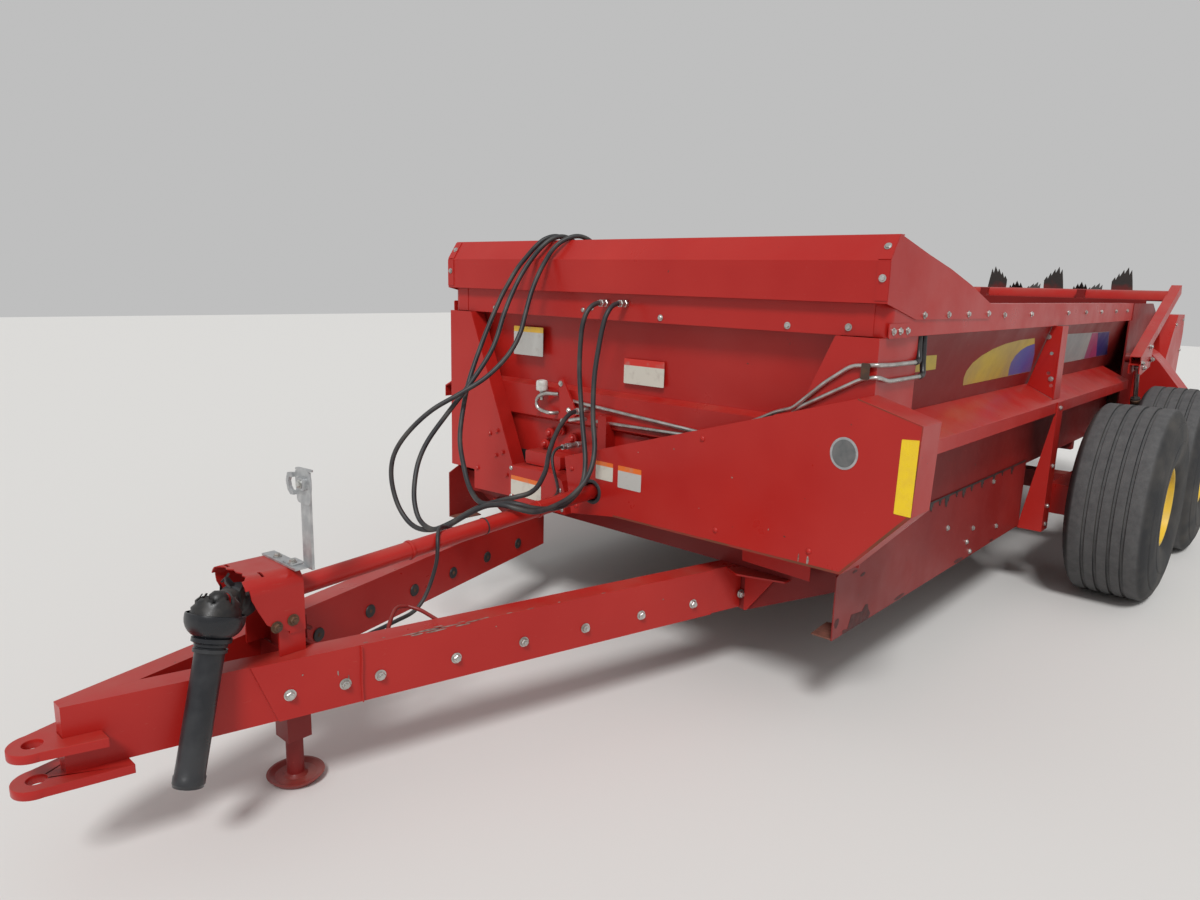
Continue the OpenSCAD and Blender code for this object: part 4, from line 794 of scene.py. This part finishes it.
for y, z, size in ((-417, 971, 26), (-433, 898, 24), (-506, 876, 24), (-534, 820, 22), (-350, 871, 24)):
    flange = turned("flange", [(0, 0), (size, 0), (size + 2, 3), (size, 12), (size - 7, 15), (size - 7, 24),
        (size - 13, 30), (0, 30)], 24, 30)
    flanges.append(stand(flange, at(-100, y, z), (1, 0, 0)))
lever = flat("lever_plate", front(-70, ((-418, 1147), (-391, 1149), (-295, 994), (-402, 926))), (10, 0, 0), 8)
bracket = flat("wall_bracket", rectangle(-108, -154, -104, 861, 1010), (60, 0, 0), 6)
flanges += [lever, bracket, flat("housing", rectangle(-110, -606, -366, 722, 788), (84, 0, 0), 12)]
dress(joined("wall_controls", flanges), "red")
# The slot is a flat black plate: painted shade of the opening in the wall.
dress(flat("wall_slot_shade", rectangle(-117, -736, -616, 705, 764), (6, 0, 0), 8), "black_paint")
dress(flat("wall_plate", rectangle(-111, -640, -610, 705, 735), (12, 0, 0), 2), "galvanised")
spacer = [(0, 0), (15, 0), (15, 16), (12, 18), (12, 60), (15, 62), (15, 84), (10, 88), (10, 112), (0, 112)]
nozzle = stand(turned("nozzle", spacer, 6, 20), at(-70, -290, 855), (1, 0, 0))
dress(nozzle, "galvanised")
bolts("wall_bolts", ahead(-59.8, ((-404, 1128), (-350, 1008), (-390, 952))))
bolts("wing_bolts", [(at(0.2, side * y, z), (1, 0, 0)) for side in (1, -1)
    for y, z in ((783, 859), (839, 839), (742, 756), (792, 734), (937, 645), (711, 646))], slot="red")

# Couplings: two threaded collars on each hose end at the rail and the wall.
collars = []
sleeve = [(10.6, 0), (15, 0), (17, 2), (17, 12), (14.5, 14), (14.5, 24), (16.5, 26), (16.5, 38),
    (13, 40), (13, 52), (10.6, 52)]
for place in ((-25, -100, 1510), (-25, 10, 1512), (-50, -250, 1020)):
    collars.append(stand(turned("collar", sleeve + sleeve[:1], 6, 20), at(*place), (1, 0, 0)))
dress(joined("hose_collars", collars), "bright_steel")


# Corner pipes: two steel lines that leave the front wall, turn round the left
# corner and go up behind the rail, held by a clamp.
lines = [
    pipe("high_line", [(-66, 630, 1080), (-30, 760, 1140), (9, 850, 1168), (9, 970, 1274), (9, 1063, 1340),
        (9, 1161, 1350), (-80, 1161, 1346), (-316, 1161, 1344)], 8, 24),
    pipe("low_line", [(-66, 650, 1030), (-44, 780, 1096), (-16, 838, 1150), (9, 884, 1178), (9, 1103, 1298),
        (9, 1161, 1309), (-78, 1161, 1290), (-366, 1161, 1290)], 8, 24)]
dress(joined("corner_lines", lines), "bright_steel")
ends = [
    pipe("end", [(-296, 1161, 1344), (-330, 1160, 1346), (-344, 1150, 1384), (-348, 1146, 1436)], 11, 16, 3),
    pipe("end", [(-346, 1161, 1290), (-380, 1160, 1292), (-394, 1150, 1330), (-398, 1144, 1436)], 11, 16, 3)]
dress(joined("line_ends", ends), "black_paint")
clamp = flat("line_clamp", rectangle(18, 1104, 1134, 1298, 1354), (4, 0, 0), 5)
dress(clamp, "chain_steel")


# Stickers on both box walls: faded vinyl in blocks of colour, with no lettering.
def on_wall(side, points):
    """Points on the slanted box wall from (behind the guard, height) in millimetres."""
    return [(x, side * (1045.3 + (z - 1128) * 0.3055), z) for x, z in points]


stickers = (
    ("sticker_yellow", "yellow", 0.3, (0.58, 0.43, 0.06), (0.42, 0.30, 0.10),
        ((-1094, 1193), (-1062, 1228), (-1058, 1262), (-1095, 1296), (-1174, 1324), (-1288, 1348), (-1440, 1367),
        (-1643, 1378), (-1877, 1380), (-2009, 1290), (-2085, 1196))),
    ("sticker_blue", "yellow", 0.6, (0.06, 0.08, 0.36), (0.12, 0.11, 0.30),
        ((-1712, 1197), (-1680, 1232), (-1664, 1266), (-1684, 1300), (-1735, 1325), (-1800, 1340), (-1923, 1350),
        (-2008, 1290), (-2083, 1197))),
    ("sticker_pale", "galvanised", 0.3, (0.40, 0.42, 0.40), (0.30, 0.31, 0.31),
        ((-2300, 1209), (-2270, 1386), (-3510, 1372), (-3790, 1209))),
    ("sticker_pink", "red", 0.6, (0.42, 0.05, 0.17), (0.32, 0.06, 0.15),
        ((-3060, 1374), (-3174, 1210), (-3484, 1210), (-3205, 1373))),
    ("sticker_navy", "black_paint", 0.6, (0.018, 0.02, 0.17), (0.04, 0.04, 0.16),
        ((-3204, 1373), (-3483, 1210), (-3786, 1210), (-3508, 1371))),
    ("sticker_small", "yellow", 0.3, (0.62, 0.48, 0.05), (0.44, 0.35, 0.08),
        ((-425, 1356), (-621, 1352), (-672, 1292), (-464, 1292))))
for name, slot, lift, colour, worn, points in stickers:
    skin = plain_finish(name + "_vinyl", colour, worn, 0.4, 0, 4)
    sheets = [flat(name, on_wall(side, points), (0, side * 0.956 * lift, -0.292 * lift)) for side in (1, -1)]
    dress(joined(name, sheets), slot, skin)


# Skirts, stakes and rails: small bolts, torn black liner that hangs out of the
# skirts' seam with a black strip of painted shadow along the seam, and rust along
# the shield's folded edges, with painted shade on the rim's right and top edges.
side_bolts, rail_heads = [], []
for side in (1, -1):
    side_bolts += outward(side * SKIRT_FACE, ((-1340, 497), (-996, 567), (-1273, 443), (-1568, 688),
        (-1697, 436), (-1331, 384)))
    side_bolts += outward(side * 1214.6, [(-2155, z) for z in (1013, 700, 480, 380)])
    side_bolts += ahead(-2099.8, ((side * 1165, 1165), (side * 1130, 1380)))
    rail_heads += outward(side * 1162.1, [(x, 1503) for x in (-1230, -1627, -2279, -2650, -3018, -3400, -3723)])
bolts("side_bolts", side_bolts)
bolts("side_rail_bolts", rail_heads)
LINER_EDGE = 716
torn = []
for side in (1, -1):
    # The black strip along the seam is painted shadow, the dark line under the seam; the rags are the torn liner.
    torn.append(flat("seam", side_rectangle(side * 1100.2, -2080, -290, 717, 726), (0, side * 1.2, 0)))
    for x, size in ((-560, 22), (-760, 34), (-860, 24), (-930, 46), (-1060, 20), (-1140, 40), (-1250, 26),
            (-1390, 34), (-1560, 30), (-1690, 20), (-1840, 36)):
        z = LINER_EDGE
        shape = [(x, z + 6), (x - size, z + 5), (x - size * 0.9, z - size * 0.5),
            (x - size * 0.7, z - size * 0.2), (x - size * 0.55, z - size), (x - size * 0.3, z - size * 0.6),
            (x - size * 0.2, z - size * 0.9), (x + 4, z - size * 0.3)]
        torn.append(flat("rag", flank(side * 1100.3, shape), (0, side * 1.5, 0)))
dress(joined("torn_liner_and_seam_shadow", torn), "black_plastic", paints["black_paint"])
edge_strip = flat("rusty_edge", front(SHIELD_FACE, ((124, 633.5), (1151, 646.6), (1372, 891), (1364, 897),
    (1147, 655), (124, 641))), (0.5, 0, 0))
rust = plain_finish("rusty_edge_paint", (0.16, 0.045, 0.02), (0.30, 0.03, 0.02), 0.75, 0.1, 9)
# The strip on the right and top edges is partly rust and partly painted shade of the shield's darker rim.
rim_strip_rust_and_shade = flat("corner_edge_rust_and_shade", front(SHIELD_FACE, ((1162, 1249), (1383, 1187), (1373, 891), (1370, 892),
    (1379.5, 1185), (1162, 1246))), (0.5, 0, 0))
dress(joined("worn_and_shaded_edges", [edge_strip, rim_strip_rust_and_shade]), "red", rust)


# Wheels: domed hub caps, eight nuts and a valve on each rim, and caps on the
# pivots of the walking beams.
hub_profile = [(0, 62), (18, 61), (30, 56), (34, 48), (34, 34), (38, 32), (56, 31),
    (60, 28), (60, 24.2), (0, 24.2)]
NUT_CIRCLE = 104
hub_master = turned("hub", hub_profile, 32, 30)
for wheel, axle, side in WHEELS:
    body = "wheel_" + wheel
    hub = copies("hub_" + wheel, hub_master, outward(side * TRACK, [(axle, HUB_HEIGHT)]))
    dress(hub, "yellow", body=body)
    nuts = []
    for k in range(8):
        x, z = math.cos(math.tau * (k + 0.5) / 8), math.sin(math.tau * (k + 0.5) / 8)
        nuts.append((at(axle + NUT_CIRCLE * x, side * (TRACK + 17.8), HUB_HEIGHT + NUT_CIRCLE * z),
            (-0.30 * x, side * 0.953, -0.30 * z)))
    bolts("wheel_nuts_" + wheel, nuts, large_nut, body=body)
    valve = pipe("valve", [(axle + 168, side * (TRACK + 20), HUB_HEIGHT),
        (axle + 176, side * (TRACK + 60), HUB_HEIGHT)], 4.5)
    dress(joined("valve_" + wheel, [valve]), "black_plastic", body=body)
bpy.data.objects.remove(hub_master)
cap_profile = [(0, 12), (40, 11), (54, 6), (58, 0), (0, 0)]
caps = [stand(turned("cap", cap_profile, 32, 30), at(-3102.5, side * 1296.2, 450),
    (0, side, 0)) for side in (1, -1)]
dress(joined("beam_caps", caps), "red")


# End gate: pins with nuts at the pivots and the rods' eyes, glands on the
# cylinders, and a row of bolts across the panel.
gate_nuts, frame_nuts = [], []
for side in (1, -1):
    frame_nuts.append((at(-3890, side * 1312.2, 1190), (0, side, 0)))
    frame_nuts.append((at(-3900, side * 1298.2, 640), (0, side, 0)))
    gate_nuts.append((at(-3700, side * 1304.2, 1145), (0, side, 0)))
    gate_nuts += outward(side * 1304.2, ((-3625, 1178), (-3830, 1275)))
bolts("frame_pin_nuts", frame_nuts, large_nut)
bolts("gate_pin_nuts", gate_nuts, large_nut, body="gate")
bolts("panel_bolts", [(at(-4473.8, y, z), (1, 0, 0)) for y in (-700, -350, 0, 350, 700)
    for z in (925, 1145, 1365)], dome_bolt, "dark_red", body="gate")
ROD = Vector((200, 0, 505)).normalized()
FROM_ROD = Vector((0.93, 0, -0.367))
for name, side in (("left", 1), ("right", -1)):
    foot = Vector((-3900, side * 1272, 640))
    gland = turned("gland", [(14.6, 0), (30, 0), (31, 2), (31, 18), (28, 22), (22, 25), (22, 29),
        (14.6, 29), (14.6, 0)], 32, 30)
    stand(gland, at(*(foot + 288 * ROD)), ROD)
    port = turned("port", [(0, 0), (11, 0), (11, 16), (14, 18), (14, 30), (0, 30)], 6, 20)
    stand(port, at(*(foot + 60 * ROD + FROM_ROD * 27.5)), FROM_ROD)
    dress(joined("gland_" + name, [gland, port]), "chain_steel", body="barrel_" + name)


# Beaters: steel tubes with toothed paddles, painted at the root and scoured
# black by the load towards the tips. Flange bearings hold their shafts.
def beater_paint(name, x, z, start, end):
    """Paint that gives way to scoured steel between two distances from the shaft."""
    skin = Finish(name, 0.5)
    shaft = (-(x / 1000 + MID), 0, -z / 1000)
    centred = skin.add("Mapping", {"Vector": skin.place(), "Location": shaft})["Vector"]
    across = skin.add("VectorMath", {0: centred, 1: (1, 0, 1)}, "MULTIPLY")[0]
    reach = skin.add("VectorMath", {0: across}, "LENGTH")["Value"]
    uneven = skin.step(skin.noise(14, 5), 0.3, 0.7, -0.04, 0.04)
    ragged = skin.add("Math", {0: reach, 1: uneven}, "ADD")[0]
    fresh = skin.mix(skin.step(skin.noise(9, 5), 0.45, 0.6), (0.22, 0.012, 0.010), (0.10, 0.035, 0.02))
    skin.put("Base Color", skin.mix(skin.step(ragged, start, end), fresh, (0.035, 0.030, 0.028)))
    skin.bump(skin.noise(60, 4), 0.3, 0.003)
    return skin.material


UPPER_SHAFT, LOWER_SHAFT = (-5065, 1400), (-4970, 712)
repaint("upper_beater", beater_paint("upper_beater_paint", *UPPER_SHAFT, 0.20, 0.30))
repaint("lower_beater", beater_paint("lower_beater_paint", *LOWER_SHAFT, 0.12, 0.19))
bearings, bearing_bolts = [], []
for x, z in (UPPER_SHAFT, LOWER_SHAFT):
    for side in (1, -1):
        housing = turned("bearing", [(25.4, 0), (66, 0), (68, 3), (66, 12), (48, 15), (40, 26), (36, 32),
            (25.4, 32), (25.4, 0)], 32, 30)
        bearings.append(stand(housing, at(x, side * 1166.5, z), (0, side, 0)))
        bearing_bolts += outward(side * 1178.6, ((x + 57, z), (x - 57, z), (x, z + 57), (x, z - 57)))
dress(joined("beater_bearings", bearings), "chain_steel")
bolts("bearing_bolts", bearing_bolts)
bolts("case_bolts", outward(1286.8, ((-4520, 680), (-4520, 960), (-4830, 1400), (-5100, 1430), (-5140, 1200),
    (-5080, 800), (-4980, 680))))


# Floor: worn boards side by side along the box, with dark gaps between them.
def board_wood():
    skin = Finish("floor_boards", 0.85)
    across = skin.add("Math", {0: skin.part("Y", skin.place()), 1: 0.09}, "PINGPONG")[0]
    grain = skin.step(skin.noise(9, 6, (0.25, 6, 6)), 0.35, 0.65)
    wood = skin.mix(grain, (0.11, 0.075, 0.05), (0.24, 0.18, 0.12))
    dirt = skin.step(skin.noise(3, 5), 0.45, 0.7, 0, 0.8)
    wood = skin.mix(dirt, wood, (0.07, 0.055, 0.04))
    skin.put("Base Color", skin.mix(skin.step(across, 0.002, 0.005), (0.01, 0.01, 0.01), wood))
    skin.bump(grain, 0.5, 0.004)
    return skin.material


repaint("box_floor", board_wood())


for master in (large_nut, small_bolt, dome_bolt):
    bpy.data.objects.remove(master)

# Studio: a pale floor, an even sky and one wide soft lamp from the front left.
bpy.ops.mesh.primitive_plane_add(size=60, location=(0, 0, -0.001))
floor = bpy.context.object
floor.name = "floor"
skin = Finish("floor_finish", 0.9)
skin.put("Base Color", (0.72, 0.71, 0.69, 1))
floor.data.materials.append(skin.material)
world = bpy.data.worlds.new("sky")
bpy.context.scene.world = world
world.use_nodes = True
background = world.node_tree.nodes["Background"]
background.inputs["Color"].default_value = (1, 1, 1, 1)
background.inputs["Strength"].default_value = 0.52
sun_data = bpy.data.lights.new("key", "SUN")
sun_data.energy = 2.0
sun_data.angle = math.radians(14)
sun = bpy.data.objects.new("key", sun_data)
link(sun)
sun.rotation_euler = Vector((-0.55, -0.35, -0.75)).to_track_quat("-Z", "Y").to_euler()
bpy.context.scene.view_settings.view_transform = "Standard"
